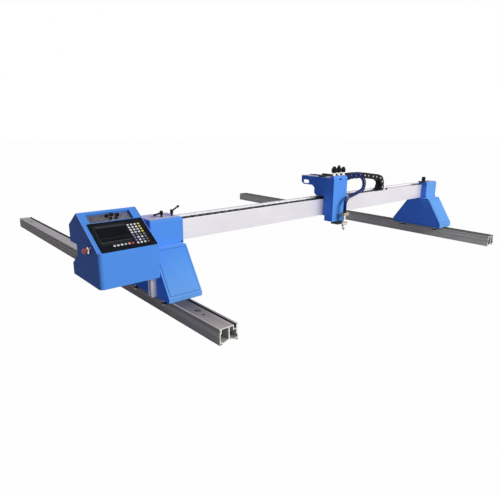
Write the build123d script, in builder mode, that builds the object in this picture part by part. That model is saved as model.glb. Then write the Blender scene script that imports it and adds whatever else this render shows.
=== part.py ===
from build123d import *
import os
from math import acos, ceil, cos, floor, pi, radians, sin, tan

os.makedirs("parts", exist_ok=True)

# Portable gantry cutter: two floor rails, a host carriage with its console on the main rail,
# an end carriage on the idle rail, a beam between them and a torch carriage on the beam.
# Frame: +X along the beam away from the console, +Y along the rails away from the operator, +Z up.
# The origin is on the floor, in the middle of the whole machine's box.

# Fits and sheet thickness
running_gap = 0.05
touch_gap = 0.3
sheet = 3.0

# Rails
rail_length = 3000.0
rail_width = 97.0
rail_height = 75.0
rail_wall = 4.0
rail_web = 6.0
rail_arch_rise = 14.0
rail_foot_width = 12.5
groove_depth = 6.0
upper_groove_z = 62.0
lower_groove_z = 38.0
channel_inner = 26.0
channel_width = 12.0
channel_depth = 18.0
rail_boss_inset = 6.5
rail_boss_bore_r = 2.6
rail_hole_r = 4.5
rail_hole_offset = 14.0
rail_hole_first = 166.0
rail_hole_pitch = 62.0
gauge = 2552.0

# Rail drive
y_module = 2.5
y_teeth = 18
main_rack_width = 10.0
main_rack_height = 14.0
rack_bar_length = 1000.0
tooth_play = 0.35
y_drive_setback = 6.0
y_shaft_r = 6.0
y_shaft_depth = 12.0
y_gearbox_thickness = 16.0
y_gearbox_width = 60.0
y_gearbox_foot = 12.0
y_motor_rise = 46.0
y_motor_r = 28.0
y_motor_length = 66.0

# Carriage shrouds, measured from the beam's front face and from each rail's axis
base_front = 202.0
host_base_front = 209.0
base_back = 227.0
deck_front = 77.0
deck_back = 90.0
deck_z = 312.0
shroud_rounding = 4.0
host_left = 69.0
host_right = 114.0
host_skirt_z = 77.0
host_crease_z = 100.0
end_left = 93.0
end_right = 83.0
end_skirt_z = 82.0
end_crease_z = 115.0
base_plate_z = 80.0
base_plate_thickness = 10.0

# V rollers
roller_r = 16.0
roller_half_width = 7.0
roller_axle_r = 5.0
roller_collar_r = 7.0
axle_head_r = 7.0
axle_head_height = 6.0
axle_nut_height = 4.0
roller_front_setback = 140.0
roller_rear_setback = 150.0

# Beam
beam_setback = 570.0
beam_depth = 80.0
beam_bottom_z = 314.0
beam_height = 106.0
beam_wall = 4.0
beam_left_end = 50.0
beam_right_end = 70.0
trough_wall = 10.0
trough_depth = 40.5

# Beam sockets
socket_front = 45.0
socket_back = 22.0
socket_top_z = 445.0
socket_wall = 4.0
socket_end_wall = 13.0
socket_rounding = 14.0
socket_screw_inset = 12.0
socket_screw_rise = 8.0
host_socket_right = 123.0
end_socket_left = 75.0
end_socket_top_z = 444.0
end_notch_length = 160.0
end_notch_setback = 30.0

# Clamp levers
lever_hub_r = 8.0
lever_hub_height = 20.0
lever_foot_gap = 11.0
lever_stud_r = 5.0
lever_arm_r = 4.0
lever_arm_length = 44.0
lever_ball_r = 6.5
lever_setback = 7.0
lever_left_x = 31.0
lever_right_x = 89.0
lever_left_turn = 191.0
lever_right_turn = 5.0
lever_left_rise = -11.0
lever_right_rise = 26.0

# End clamp
clamp_plate_thickness = 4.0
clamp_plate_overhang = 30.0
clamp_plate_length = 95.0
clamp_plate_depth = 50.0
end_knob_r = 14.5
end_knob_height = 34.0
end_knob_stud_r = 5.0
end_knob_inset = 26.0

# Console
console_reach = 360.0
console_gap = 3.0
console_front = 140.0
console_floor_z = 192.0
console_lip_z = 353.0
slope_angle = 33.3
slope_length = 264.0
console_rear = 183.0
console_rear_top_z = 431.0
bay_top_z = 351.0
bay_wall = 102.0
bay_floor_z = 300.0
bay_sill_z = 247.0
bay_sill_setback = 9.0
console_corner_r = 22.0

# Vents in the back cover
vent_count = 13
vent_pitch = 15.0
vent_length = 34.0
vent_width = 5.0

# Controller
panel_left_margin = 20.0
panel_right_margin = 6.0
panel_lip_margin = 2.0
panel_length = 180.0
panel_thickness = 4.0
panel_rounding = 4.0
controller_depth = 34.0
controller_margin = 12.0
screen_width = 146.0
screen_length = 94.0
screen_from_left = 22.0
screen_from_top = 26.0
glass_thickness = 1.5
key_r = 4.6
key_height = 1.6
key_pitch_x = 17.3
key_pitch_y = 16.6
key_columns = 4
key_rows = 8
key_from_right = 34.0
key_from_top = 39.0
function_keys = 6
function_from_left = 66.0
function_from_top = 152.0

# Recess above the panel
recess_width = 211.0
recess_length = 60.0
recess_depth = 14.0
recess_from_left = 37.0
recess_from_panel = 7.0
recess_wall = 2.0

# Sockets
socket_r = 9.0
socket_height = 9.0
socket_core_r = 5.0
socket_core_depth = 5.0
bay_sockets = 5
bay_socket_pitch = 44.0
recess_socket_pitch = 26.0
recess_socket_shift = 18.0
recess_socket_rise = 16.0
recess_socket_stagger = 3.0

# Buttons on the console's left side, from the beam's front face
estop_setback = 46.0
estop_z = 353.0
estop_collar_r = 15.0
estop_collar_height = 5.0
estop_stem_r = 8.0
estop_travel = 4.0
estop_gap = 3.0
estop_neck_r = 5.0
estop_head_r = 13.5
estop_head_height = 19.0
stem_inside = 24.0
power_setback = 75.0
power_z = 369.0
power_collar_r = 8.0
power_collar_height = 3.0
power_button_r = 5.0
power_button_stand = 4.0

# Inside the console
supply_width = 110.0
supply_depth = 160.0
supply_height = 46.0
board_width = 120.0
board_depth = 170.0
board_thickness = 3.0
board_post_r = 4.0
board_post_height = 12.0
board_margin = 10.0
inside_margin = 14.0

# Console bracket
bracket_reach = 28.0
bracket_thickness = 6.0
bracket_depth = 30.0
bracket_front = 93.0
bracket_foot_z = 83.0

# Drag chain
chain_width = 56.0
chain_height = 40.0
chain_bend_r = 60.0
chain_loop_x = 1871.0
chain_entry_z = 528.0
chain_droop = 7.6
chain_start = 8.0
chain_pitch = 48.0
chain_notch = 4.0
chain_notch_depth = 3.0

# Torch carriage, heights from the floor, depths from the beam's front face
carriage_x = 1235.0
carriage_width = 136.0
carriage_front = 80.0
carriage_bottom_z = 277.0
carriage_step_z = 311.0
carriage_step = 10.0
carriage_gap = 3.0
leg_z = 437.0
leg_back = 70.0
leg_corner = 15.0
leg_top_z = 486.0
leg_slant = 20.0
leg_corner_r = 8.0
arm_z = 502.0
arm_back = 202.0
arm_chamfer_y = 22.0
arm_chamfer_z = 13.0
carriage_top_z = 560.0
window_width = 50.0
window_height = 24.0
window_from_back = 43.0
window_z = 521.0
exit_margin = 5.0
exit_depth = 27.0
exit_top_z = 545.0
gland_r = 6.5
gland_length = 12.0
gland_z = 538.0
gland_pitch = 14.0
gland_setback = 22.0

# Carriage frame
frame_thickness = 10.0
frame_margin = 10.0
frame_top_z = 508.0
frame_flange = 8.0
frame_bottom_z = 284.0
beam_roller_r = 12.0
beam_roller_width = 8.0
beam_roller_stud_r = 4.0
beam_roller_spread = 40.0

# Beam drive
x_module = 2.0
x_teeth = 18
beam_rack_width = 8.0
beam_rack_height = 12.0
x_shaft_r = 5.0
x_shaft_depth = 9.0
x_gearbox_width = 48.0
x_gearbox_thickness = 14.0
x_motor_side = 42.0
x_motor_length = 44.0

# Torch lifter
rod_r = 5.0
rod_spread = 40.0
lift_axis_setback = 42.0
screw_r = 4.0
z_motor_side = 42.0
z_motor_length = 42.0
slide_height = 50.0
slide_top_z = 492.0
slide_depth = 34.0
slide_width = 106.0
lift_bar_width = 12.0
lift_bar_depth = 10.0
lift_bar_spread = 17.0
lift_travel = 130.0

# Torch and holder
torch_x = 73.0
torch_setback = 120.0
holder_gap = 1.0
holder_thickness = 16.0
holder_width = 84.0
clamp_ring_wall = 8.0
torch_r = 13.0
torch_base_z = 250.0
torch_top_z = 318.0
torch_neck_r = 9.5
torch_neck_z = 288.0
manifold_left = 20.0
manifold_right = 30.0
manifold_depth = 24.0
manifold_height = 18.0
tail_r = 4.0
tail_height = 12.0
tail_spread = 6.0
tail_front = 4.5
tail_back = 5.0
nozzle_tip_z = 222.0
nozzle_tip_r = 4.0
nozzle_shoulder_z = 236.0
orifice_r = 0.9
orifice_depth = 8.0
torch_knob_r = 7.0
torch_knob_length = 16.0
torch_knob_stud_r = 3.0
torch_knob_depth = 14.0

# Gas valves
valve_block_height = 12.0
valve_block_depth = 26.0
valve_setback = 60.0
valve_pitch = 46.0
valve_stem_r = 5.0
valve_stem_height = 26.0
valve_knob_r = 17.0
valve_knob_height = 41.0
valve_seat_depth = 8.0

# Cover screws
screw_head_r = 4.5
screw_head_height = 2.5
cover_screw_r = 2.0
cover_screw_length = 8.0

# Hoses
hose_d = 9.0

# Places worked out from the values above
reach_left = console_reach + estop_collar_height + estop_gap + estop_travel + estop_head_height
main_x = -(reach_left + gauge + end_right) / 2 + reach_left
idle_x = main_x + gauge
near_y = -rail_length / 2
beam_y0 = near_y + beam_setback
beam_y1 = beam_y0 + beam_depth
beam_top_z = beam_bottom_z + beam_height
trough_z = beam_top_z - trough_depth
trough_y0 = beam_y0 + trough_wall
trough_y1 = beam_y1 - trough_wall
plate_top_z = base_plate_z + base_plate_thickness
roller_offset = rail_width / 2 + roller_r - groove_depth + touch_gap
y_pitch_r = y_module * y_teeth / 2
x_pitch_r = x_module * x_teeth / 2


def slab(x0, x1, y0, y1, z0, z1, mode=Mode.ADD):
    """A box between two corners."""
    with Locations(((x0 + x1) / 2, (y0 + y1) / 2, (z0 + z1) / 2)):
        Box(x1 - x0, y1 - y0, z1 - z0, mode=mode)


def pillar(x, y, z0, z1, radius, mode=Mode.ADD):
    """An upright cylinder from z0 to z1."""
    with Locations((x, y, (z0 + z1) / 2)):
        Cylinder(radius, z1 - z0, mode=mode)


def shaft_x(x0, x1, y, z, radius, mode=Mode.ADD):
    """A cylinder along X from x0 to x1."""
    with Locations(Location(((x0 + x1) / 2, y, z), (0, 90, 0))):
        Cylinder(radius, x1 - x0, mode=mode)


def shaft_y(y0, y1, x, z, radius, mode=Mode.ADD):
    """A cylinder along Y from y0 to y1."""
    with Locations(Location((x, (y0 + y1) / 2, z), (90, 0, 0))):
        Cylinder(radius, y1 - y0, mode=mode)


def side_section(x, points, inset=0.0, rounding=0.0, corners=()):
    """A closed outline in Y and Z, standing at x, shrunk by inset; corners lists (point, radius)."""
    with BuildSketch(Plane.YZ.offset(x)) as section:
        with BuildLine():
            Polyline(*points, close=True)
        make_face()
        if rounding:
            fillet(section.vertices(), rounding)
        for point, radius in corners:
            fillet(section.vertices().sort_by_distance((point[0], point[1], 0))[0], radius)
        if inset:
            offset(amount=-inset, kind=Kind.INTERSECTION, mode=Mode.REPLACE)
    return section.sketch


def gear_outline(cx, cy, module, teeth, first_angle):
    """Involute spur gear outline around (cx, cy), one tooth pointing at first_angle (radians)."""
    pressure = radians(20)
    pitch_r = module * teeth / 2
    base_r = pitch_r * cos(pressure)
    root_r = pitch_r - 1.25 * module
    tip_r = pitch_r + module
    half_at_pitch = (pi * module / 2 - tooth_play) / 2 / pitch_r
    flank = []
    steps = 5
    for step in range(steps):
        r = base_r + (tip_r - base_r) * step / (steps - 1)
        roll = acos(base_r / r)
        half = half_at_pitch + (tan(pressure) - pressure) - (tan(roll) - roll)
        flank.append((r, half))
    flank.insert(0, (root_r, flank[0][1]))
    points = []
    for tooth in range(teeth):
        middle = first_angle + 2 * pi * tooth / teeth
        for r, half in flank:
            points.append((cx + r * cos(middle - half), cy + r * sin(middle - half)))
        for r, half in reversed(flank):
            points.append((cx + r * cos(middle + half), cy + r * sin(middle + half)))
    return points


def rack_outline(start, end, base, tip, module, gap_at):
    """Rack bar outline from start to end with 20 degree flanks and a gap centred on gap_at."""
    pitch = pi * module
    slope = tan(radians(20))
    half = (pitch / 2 - tooth_play) / 2
    half_tip = half - module * slope
    half_root = half + 1.25 * module * slope
    root = tip - 2.25 * module
    first = ceil((start + half_root - gap_at) / pitch - 0.5)
    last = floor((end - half_root - gap_at) / pitch - 0.5)
    points = [(start, base), (start, root)]
    for tooth in range(first, last + 1):
        middle = gap_at + (tooth + 0.5) * pitch
        points.append((middle - half_root, root))
        points.append((middle - half_tip, tip))
        points.append((middle + half_tip, tip))
        points.append((middle + half_root, root))
    points.append((end, root))
    points.append((end, base))
    return points


# Rails
def make_rail(axis_x):
    """Hollow extrusion with a top plate, side grooves, a rack channel and screw bosses at its feet."""
    half = rail_width / 2
    top = rail_height - rail_wall
    thick = half - groove_depth - rail_wall
    thin = half - rail_wall
    foot = half - rail_foot_width
    over_arch = rail_arch_rise + rail_wall
    boss_top = 2 * rail_boss_inset + 2.0
    channel_outer = channel_inner + channel_width
    channel_floor = rail_height - channel_depth
    left_void = [
        (-thin, boss_top),
        (-thin, upper_groove_z - 2 * groove_depth - 2),
        (-thick, upper_groove_z - groove_depth),
        (-thick, top),
        (-rail_web / 2, top),
        (-rail_web / 2, over_arch),
        (-foot * 0.42, over_arch - 2.4),
        (-foot * 0.84, over_arch - 8.5),
        (-foot, boss_top - 1.5),
    ]
    right_void = [
        (thin, boss_top),
        (thin, lower_groove_z - 2 * groove_depth),
        (thick, lower_groove_z - groove_depth),
        (thick, channel_floor - rail_wall),
        (channel_inner - rail_wall, channel_floor - rail_wall),
        (channel_inner - rail_wall, top),
        (rail_web / 2, top),
        (rail_web / 2, over_arch),
        (foot * 0.42, over_arch - 2.4),
        (foot * 0.84, over_arch - 8.5),
        (foot, boss_top - 1.5),
    ]
    end_plane = Plane(origin=(axis_x, rail_length / 2, 0), x_dir=(1, 0, 0), z_dir=(0, -1, 0))
    with BuildPart() as rail:
        with BuildSketch(end_plane):
            with Locations((0, rail_height / 2)):
                Rectangle(rail_width, rail_height)
            with BuildLine():
                ThreePointArc((-foot, 0), (0, rail_arch_rise), (foot, 0))
                Line((foot, 0), (-foot, 0))
            make_face(mode=Mode.SUBTRACT)
            for void in (left_void, right_void):
                with BuildLine():
                    Polyline(*void, close=True)
                make_face(mode=Mode.SUBTRACT)
            with Locations(((channel_inner + channel_outer) / 2, rail_height - channel_depth / 2)):
                Rectangle(channel_width, channel_depth, mode=Mode.SUBTRACT)
            for side, height in ((-1, upper_groove_z), (1, lower_groove_z)):
                with BuildLine():
                    Polyline(
                        (side * half, height - groove_depth),
                        (side * (half - groove_depth), height),
                        (side * half, height + groove_depth),
                        close=True,
                    )
                make_face(mode=Mode.SUBTRACT)
            boss_x = half - rail_boss_inset
            with Locations((-boss_x, rail_boss_inset), (boss_x, rail_boss_inset)):
                Circle(rail_boss_bore_r, mode=Mode.SUBTRACT)
        extrude(amount=rail_length)
        for end in (-1, 1):
            for place in (rail_hole_first, rail_hole_first + rail_hole_pitch):
                hole_y = end * (rail_length / 2 - place)
                pillar(axis_x - rail_hole_offset, hole_y, top - 1, rail_height + 1, rail_hole_r, Mode.SUBTRACT)
    return rail


main_rail = make_rail(main_x)
idle_rail = make_rail(idle_x)

rack_mid_x = main_x + channel_inner + channel_width / 2
rack_base_z = rail_height - channel_depth
rack_tip_z = rack_base_z + main_rack_height
y_drive_y = beam_y0 + y_drive_setback
y_axis_z = rack_tip_z - y_module + y_pitch_r

with BuildPart() as main_rack:
    bars = ceil(rail_length / rack_bar_length)
    for bar in range(bars):
        bar_start = near_y + rail_length * bar / bars
        bar_end = near_y + rail_length * (bar + 1) / bars - touch_gap
        with BuildSketch(Plane.YZ.offset(rack_mid_x - main_rack_width / 2)):
            with BuildLine():
                Polyline(
                    *rack_outline(bar_start, bar_end, rack_base_z, rack_tip_z, y_module, y_drive_y), close=True
                )
            make_face()
        extrude(amount=main_rack_width)

with BuildPart() as y_pinion:
    with BuildSketch(Plane.YZ.offset(rack_mid_x - main_rack_width / 2)):
        with BuildLine():
            Polyline(*gear_outline(y_drive_y, y_axis_z, y_module, y_teeth, -pi / 2), close=True)
        make_face()
    extrude(amount=main_rack_width)
    pinion_face_x = rack_mid_x - main_rack_width / 2
    shaft_x(pinion_face_x - y_shaft_depth, pinion_face_x, y_drive_y, y_axis_z, y_shaft_r)


# Carriage bases and shrouds
def shroud_points(front, skirt_z, crease_z):
    """Side outline of a carriage shroud: upright skirt, slanting front and back, flat deck."""
    return [
        (beam_y0 - front, skirt_z),
        (beam_y0 - front, crease_z),
        (beam_y0 - deck_front, deck_z),
        (beam_y0 + deck_back, deck_z),
        (beam_y0 + base_back, crease_z),
        (beam_y0 + base_back, skirt_z),
    ]


def make_shroud(left, right, front, skirt_z, crease_z):
    """Folded sheet cover, open below."""
    with BuildPart() as shroud:
        outer = shroud_points(front, skirt_z, crease_z)
        inner = shroud_points(front, skirt_z - 3 * sheet - shroud_rounding, crease_z)
        extrude(side_section(left, outer, 0, shroud_rounding), amount=right - left)
        extrude(
            side_section(left + sheet, inner, sheet, shroud_rounding),
            amount=right - left - 2 * sheet,
            mode=Mode.SUBTRACT,
        )
    return shroud


host_shroud_x0 = main_x - host_left
host_shroud_x1 = main_x + host_right
end_shroud_x0 = idle_x - end_left
end_shroud_x1 = idle_x + end_right

host_shroud = make_shroud(host_shroud_x0, host_shroud_x1, host_base_front, host_skirt_z, host_crease_z)
end_shroud = make_shroud(end_shroud_x0, end_shroud_x1, base_front, end_skirt_z, end_crease_z)

plate_y0 = beam_y0 - base_front + sheet
plate_y1 = beam_y0 + base_back - sheet
roller_front_y = beam_y0 - roller_front_setback
roller_rear_y = beam_y0 + roller_rear_setback
roller_side_y = beam_y0 + (roller_rear_setback - roller_front_setback) / 2


def roller_places(axis_x):
    """Axle places of the three V rollers of a carriage: x, y and groove height."""
    return [
        (axis_x - roller_offset, roller_front_y, upper_groove_z),
        (axis_x - roller_offset, roller_rear_y, upper_groove_z),
        (axis_x + roller_offset, roller_side_y, lower_groove_z),
    ]


def make_base_plate(axis_x, left, right):
    """Plate inside the skirt with a clearance hole for each roller axle."""
    with BuildPart() as plate:
        slab(left + sheet, right - sheet, plate_y0, plate_y1, base_plate_z, plate_top_z)
        for x, y, _ in roller_places(axis_x):
            pillar(x, y, base_plate_z - 1, plate_top_z + 1, roller_axle_r + running_gap, Mode.SUBTRACT)
    return plate


gearbox_x1 = rack_mid_x - main_rack_width / 2 - touch_gap
gearbox_x0 = gearbox_x1 - y_gearbox_thickness
y_slot_half = max(y_gearbox_width / 2, y_pitch_r + y_module) + 3.0

host_base_plate = make_base_plate(main_x, host_shroud_x0, host_shroud_x1)
with host_base_plate:
    slab(
        gearbox_x0 - 1,
        rack_mid_x + main_rack_width / 2 + 3,
        y_drive_y - y_slot_half,
        y_drive_y + y_slot_half,
        base_plate_z - 1,
        plate_top_z + 1,
        Mode.SUBTRACT,
    )
end_base_plate = make_base_plate(idle_x, end_shroud_x0, end_shroud_x1)

with BuildPart() as y_gearmotor:
    motor_z = y_axis_z + y_motor_rise
    slab(
        gearbox_x0,
        gearbox_x1,
        y_drive_y - y_gearbox_width / 2,
        y_drive_y + y_gearbox_width / 2,
        y_axis_z - y_gearbox_foot,
        motor_z + y_motor_r,
    )
    slab(
        gearbox_x0 - y_gearbox_thickness,
        gearbox_x0,
        y_drive_y - y_slot_half - 14,
        y_drive_y + y_slot_half + 14,
        plate_top_z,
        plate_top_z + 6,
    )
    shaft_x(gearbox_x0 - y_motor_length, gearbox_x0, y_drive_y, motor_z, y_motor_r)
    shaft_x(gearbox_x0 - y_motor_length - 4, gearbox_x0 - y_motor_length, y_drive_y, motor_z, y_motor_r - 6)
    shaft_x(
        gearbox_x1 - y_shaft_depth - 1, gearbox_x1, y_drive_y, y_axis_z, y_shaft_r + running_gap, Mode.SUBTRACT
    )


# V rollers and their shoulder bolts
def make_roller(x, y, z):
    """Roller with a 90 degree V rim, turning on an upright axle."""
    hub_r = roller_r - groove_depth
    with BuildPart() as roller:
        with BuildSketch(Plane(origin=(x, y, z), x_dir=(1, 0, 0), z_dir=(0, -1, 0))):
            with BuildLine():
                Polyline(
                    (roller_axle_r + running_gap, -roller_half_width),
                    (hub_r, -roller_half_width),
                    (hub_r, -groove_depth),
                    (roller_r, 0),
                    (hub_r, groove_depth),
                    (hub_r, roller_half_width),
                    (roller_axle_r + running_gap, roller_half_width),
                    close=True,
                )
            make_face()
        revolve(axis=Axis((x, y, z), (0, 0, 1)))
    return roller


all_places = roller_places(main_x) + roller_places(idle_x)
roller_names = [
    "host_roller_front",
    "host_roller_rear",
    "host_roller_side",
    "end_roller_front",
    "end_roller_rear",
    "end_roller_side",
]
rollers = {}
for roller_name, place in zip(roller_names, all_places):
    rollers[roller_name] = make_roller(*place)

with BuildPart() as roller_axles:
    for x, y, z in all_places:
        low = z - roller_half_width - touch_gap
        high = z + roller_half_width + touch_gap
        pillar(x, y, low - axle_nut_height, low, axle_head_r)
        pillar(x, y, low, plate_top_z, roller_axle_r)
        pillar(x, y, high, base_plate_z, roller_collar_r)
        pillar(x, y, plate_top_z, plate_top_z + axle_head_height, axle_head_r)

# Beam with the trough for the drag chain on top
beam_x0 = main_x - beam_left_end
beam_x1 = idle_x + beam_right_end
with BuildPart() as beam:
    with BuildSketch(Plane.YZ.offset(beam_x0)):
        with Locations(((beam_y0 + beam_y1) / 2, (beam_bottom_z + beam_top_z) / 2)):
            Rectangle(beam_depth, beam_height)
        with Locations(((trough_y0 + trough_y1) / 2, beam_top_z - trough_depth / 2)):
            Rectangle(trough_y1 - trough_y0, trough_depth, mode=Mode.SUBTRACT)
        cell_floor = beam_bottom_z + beam_wall
        cell_roof = trough_z - beam_wall
        cell_height = (cell_roof - cell_floor - beam_wall) / 2
        for cell_z in (cell_floor + cell_height / 2, cell_roof - cell_height / 2):
            with Locations(((beam_y0 + beam_y1) / 2, cell_z)):
                Rectangle(beam_depth - 2 * beam_wall, cell_height, mode=Mode.SUBTRACT)
    extrude(amount=beam_x1 - beam_x0)

carriage_x0 = main_x + carriage_x
carriage_x1 = carriage_x0 + carriage_width
carriage_mid = (carriage_x0 + carriage_x1) / 2
host_socket_x0 = beam_x0 - socket_end_wall
host_socket_x1 = main_x + host_socket_right
end_socket_x0 = idle_x - end_socket_left
end_socket_x1 = idle_x + end_right
clamp_plate_x0 = end_socket_x0 - clamp_plate_overhang
beam_rack_y1 = beam_y1 - (trough_wall - beam_rack_width) / 2
beam_rack_tip_z = beam_top_z + beam_rack_height
x_axis_z = beam_rack_tip_z - x_module + x_pitch_r

with BuildPart() as beam_rack:
    rack_plane = Plane(origin=(0, beam_rack_y1, 0), x_dir=(1, 0, 0), z_dir=(0, -1, 0))
    rack_start = host_socket_x1 + chain_start
    rack_end = clamp_plate_x0 - chain_start
    rack_bars = ceil((rack_end - rack_start) / rack_bar_length)
    for bar in range(rack_bars):
        bar_start = rack_start + (rack_end - rack_start) * bar / rack_bars
        bar_end = rack_start + (rack_end - rack_start) * (bar + 1) / rack_bars - touch_gap
        with BuildSketch(rack_plane):
            with BuildLine():
                Polyline(
                    *rack_outline(bar_start, bar_end, beam_top_z, beam_rack_tip_z, x_module, carriage_mid),
                    close=True,
                )
            make_face()
        extrude(amount=beam_rack_width)


# Sockets that hold the beam's ends
def make_beam_socket(x0, x1, cavity_x0, cavity_x1, top_z):
    """Block around the beam's end, hollow in front of the beam and open below there."""
    front = beam_y0 - socket_front
    back = beam_y1 + socket_back
    with BuildPart() as block:
        slab(x0, x1, front, back, deck_z, top_z)
        upright = block.edges().filter_by(Axis.Z).group_by(Axis.Y)[0]
        fillet(upright, socket_rounding / 2)
        crown = block.edges().filter_by(Axis.Y).group_by(Axis.Z)[-1]
        fillet(crown, socket_rounding)
        slab(cavity_x0, cavity_x1, beam_y0, beam_y1, beam_bottom_z, beam_top_z, Mode.SUBTRACT)
        slab(
            x0 + socket_wall,
            x1 - socket_wall,
            front + socket_wall,
            beam_y0 - socket_wall,
            deck_z - 1,
            top_z - 2 * socket_wall,
            Mode.SUBTRACT,
        )
    return block


host_beam_socket = make_beam_socket(host_socket_x0, host_socket_x1, beam_x0, host_socket_x1 + 1, socket_top_z)
end_beam_socket = make_beam_socket(end_socket_x0, end_socket_x1, end_socket_x0 - 1, beam_x1, end_socket_top_z)
with end_beam_socket:
    slab(
        end_socket_x0 - 1,
        end_socket_x0 + end_notch_length,
        beam_y0 + end_notch_setback,
        beam_y1 + socket_back + 1,
        beam_top_z,
        end_socket_top_z + 1,
        Mode.SUBTRACT,
    )

lever_y = beam_y0 + lever_setback
lever_places = [
    (main_x + lever_left_x, lever_left_turn, lever_left_rise),
    (main_x + lever_right_x, lever_right_turn, lever_right_rise),
]
with host_beam_socket:
    for x, _, _ in lever_places:
        pillar(x, lever_y, beam_top_z - 1, socket_top_z + 1, lever_stud_r + running_gap, Mode.SUBTRACT)


def make_lever(x, turn, arm_rise):
    """Clamping lever: hub, arm with a ball end, and the stud that presses on the beam."""
    hub_z0 = socket_top_z + lever_foot_gap
    hub_z1 = hub_z0 + lever_hub_height
    rise = radians(arm_rise)
    heading = radians(turn)
    way = Vector(cos(rise) * cos(heading), cos(rise) * sin(heading), sin(rise))
    root = Vector(x, lever_y, hub_z0 + lever_hub_height * 0.6)
    ball_start = lever_arm_length - (lever_ball_r**2 - lever_arm_r**2) ** 0.5
    with BuildPart() as lever:
        pillar(x, lever_y, hub_z0, hub_z1, lever_hub_r)
        fillet(lever.edges().group_by(Axis.Z)[-1], lever_hub_r / 3)
        with BuildSketch(Plane(origin=root, x_dir=way, z_dir=(sin(heading), -cos(heading), 0))):
            with BuildLine():
                Polyline((0, 0), (0, lever_arm_r), (ball_start, lever_arm_r))
                ThreePointArc(
                    (ball_start, lever_arm_r),
                    (lever_arm_length, lever_ball_r),
                    (lever_arm_length + lever_ball_r, 0),
                )
                Line((lever_arm_length + lever_ball_r, 0), (0, 0))
            make_face()
        revolve(axis=Axis(root, way))
        pillar(x, lever_y, beam_top_z + touch_gap, hub_z0, lever_stud_r)
    return lever


clamp_lever_left = make_lever(*lever_places[0])
clamp_lever_right = make_lever(*lever_places[1])


# End clamp
def fluted(x, y, z0, z1, radius, flutes):
    """Upright knob grip with scallops around its rim."""
    with BuildSketch(Plane.XY.offset(z0)) as grip:
        with Locations((x, y)):
            Circle(radius)
            with PolarLocations(radius * 1.06, flutes):
                Circle(radius * 0.2, mode=Mode.SUBTRACT)
    return extrude(grip.sketch, amount=z1 - z0, mode=Mode.PRIVATE)


clamp_plate_z = end_socket_top_z + clamp_plate_thickness
end_knob_x = end_socket_x0 + end_knob_inset
end_knob_y = beam_y0 + socket_wall
stud_depth = end_socket_top_z - beam_top_z - 1
with BuildPart() as end_clamp_plate:
    slab(
        clamp_plate_x0,
        clamp_plate_x0 + clamp_plate_length,
        beam_y0 - clamp_plate_depth / 2,
        beam_y0 + clamp_plate_depth / 2,
        end_socket_top_z,
        clamp_plate_z,
    )
    pillar(
        end_knob_x, end_knob_y, end_socket_top_z - 1, clamp_plate_z + 1, end_knob_stud_r + running_gap, Mode.SUBTRACT
    )
with end_beam_socket:
    pillar(
        end_knob_x,
        end_knob_y,
        end_socket_top_z - stud_depth,
        end_socket_top_z + 1,
        end_knob_stud_r + running_gap,
        Mode.SUBTRACT,
    )
with BuildPart() as end_clamp_knob:
    add(fluted(end_knob_x, end_knob_y, clamp_plate_z + touch_gap, clamp_plate_z + end_knob_height, end_knob_r, 10))
    pillar(
        end_knob_x,
        end_knob_y,
        end_socket_top_z - stud_depth + touch_gap,
        clamp_plate_z + touch_gap,
        end_knob_stud_r,
    )

# Console housing
console_x0 = main_x - console_reach
console_x1 = host_shroud_x0 - console_gap
console_width = console_x1 - console_x0
slope = radians(slope_angle)
lip_y = beam_y0 - console_front
ridge_y = lip_y + slope_length * cos(slope)
ridge_z = console_lip_z + slope_length * sin(slope)
rear_y = beam_y0 + console_rear
bay_y = beam_y0 + bay_wall
console_side = [
    (lip_y, console_floor_z),
    (lip_y, console_lip_z),
    (ridge_y, ridge_z),
    (rear_y, console_rear_top_z),
    (rear_y, bay_top_z),
    (bay_y, bay_top_z),
    (bay_y, bay_floor_z),
    (rear_y - bay_sill_setback, bay_sill_z),
    (rear_y - bay_sill_setback, console_floor_z),
]
slope_plane = Plane(
    origin=((console_x0 + console_x1) / 2, lip_y, console_lip_z),
    x_dir=(1, 0, 0),
    z_dir=(0, -sin(slope), cos(slope)),
)
panel_width = console_width - panel_left_margin - panel_right_margin
panel_u = (panel_left_margin - panel_right_margin) / 2
panel_v = panel_lip_margin + panel_length / 2
panel_left_u = panel_u - panel_width / 2
panel_top_v = panel_lip_margin + panel_length
recess_u = panel_left_u - panel_left_margin + recess_from_left + recess_width / 2
recess_v = panel_top_v + recess_from_panel + recess_length / 2
cover_z0 = bay_top_z + inside_margin / 2
cover_z1 = console_rear_top_z - inside_margin / 2
estop_y = beam_y0 - estop_setback
power_y = beam_y0 - power_setback

with BuildPart() as console_hollow:
    extrude(side_section(console_x0 + sheet, console_side, sheet), amount=console_width - 2 * sheet)
    inner_corner = console_hollow.edges().filter_by(Axis.Z).group_by(Axis.Y)[0].sort_by(Axis.X)[0]
    fillet(inner_corner, console_corner_r - sheet)

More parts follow.
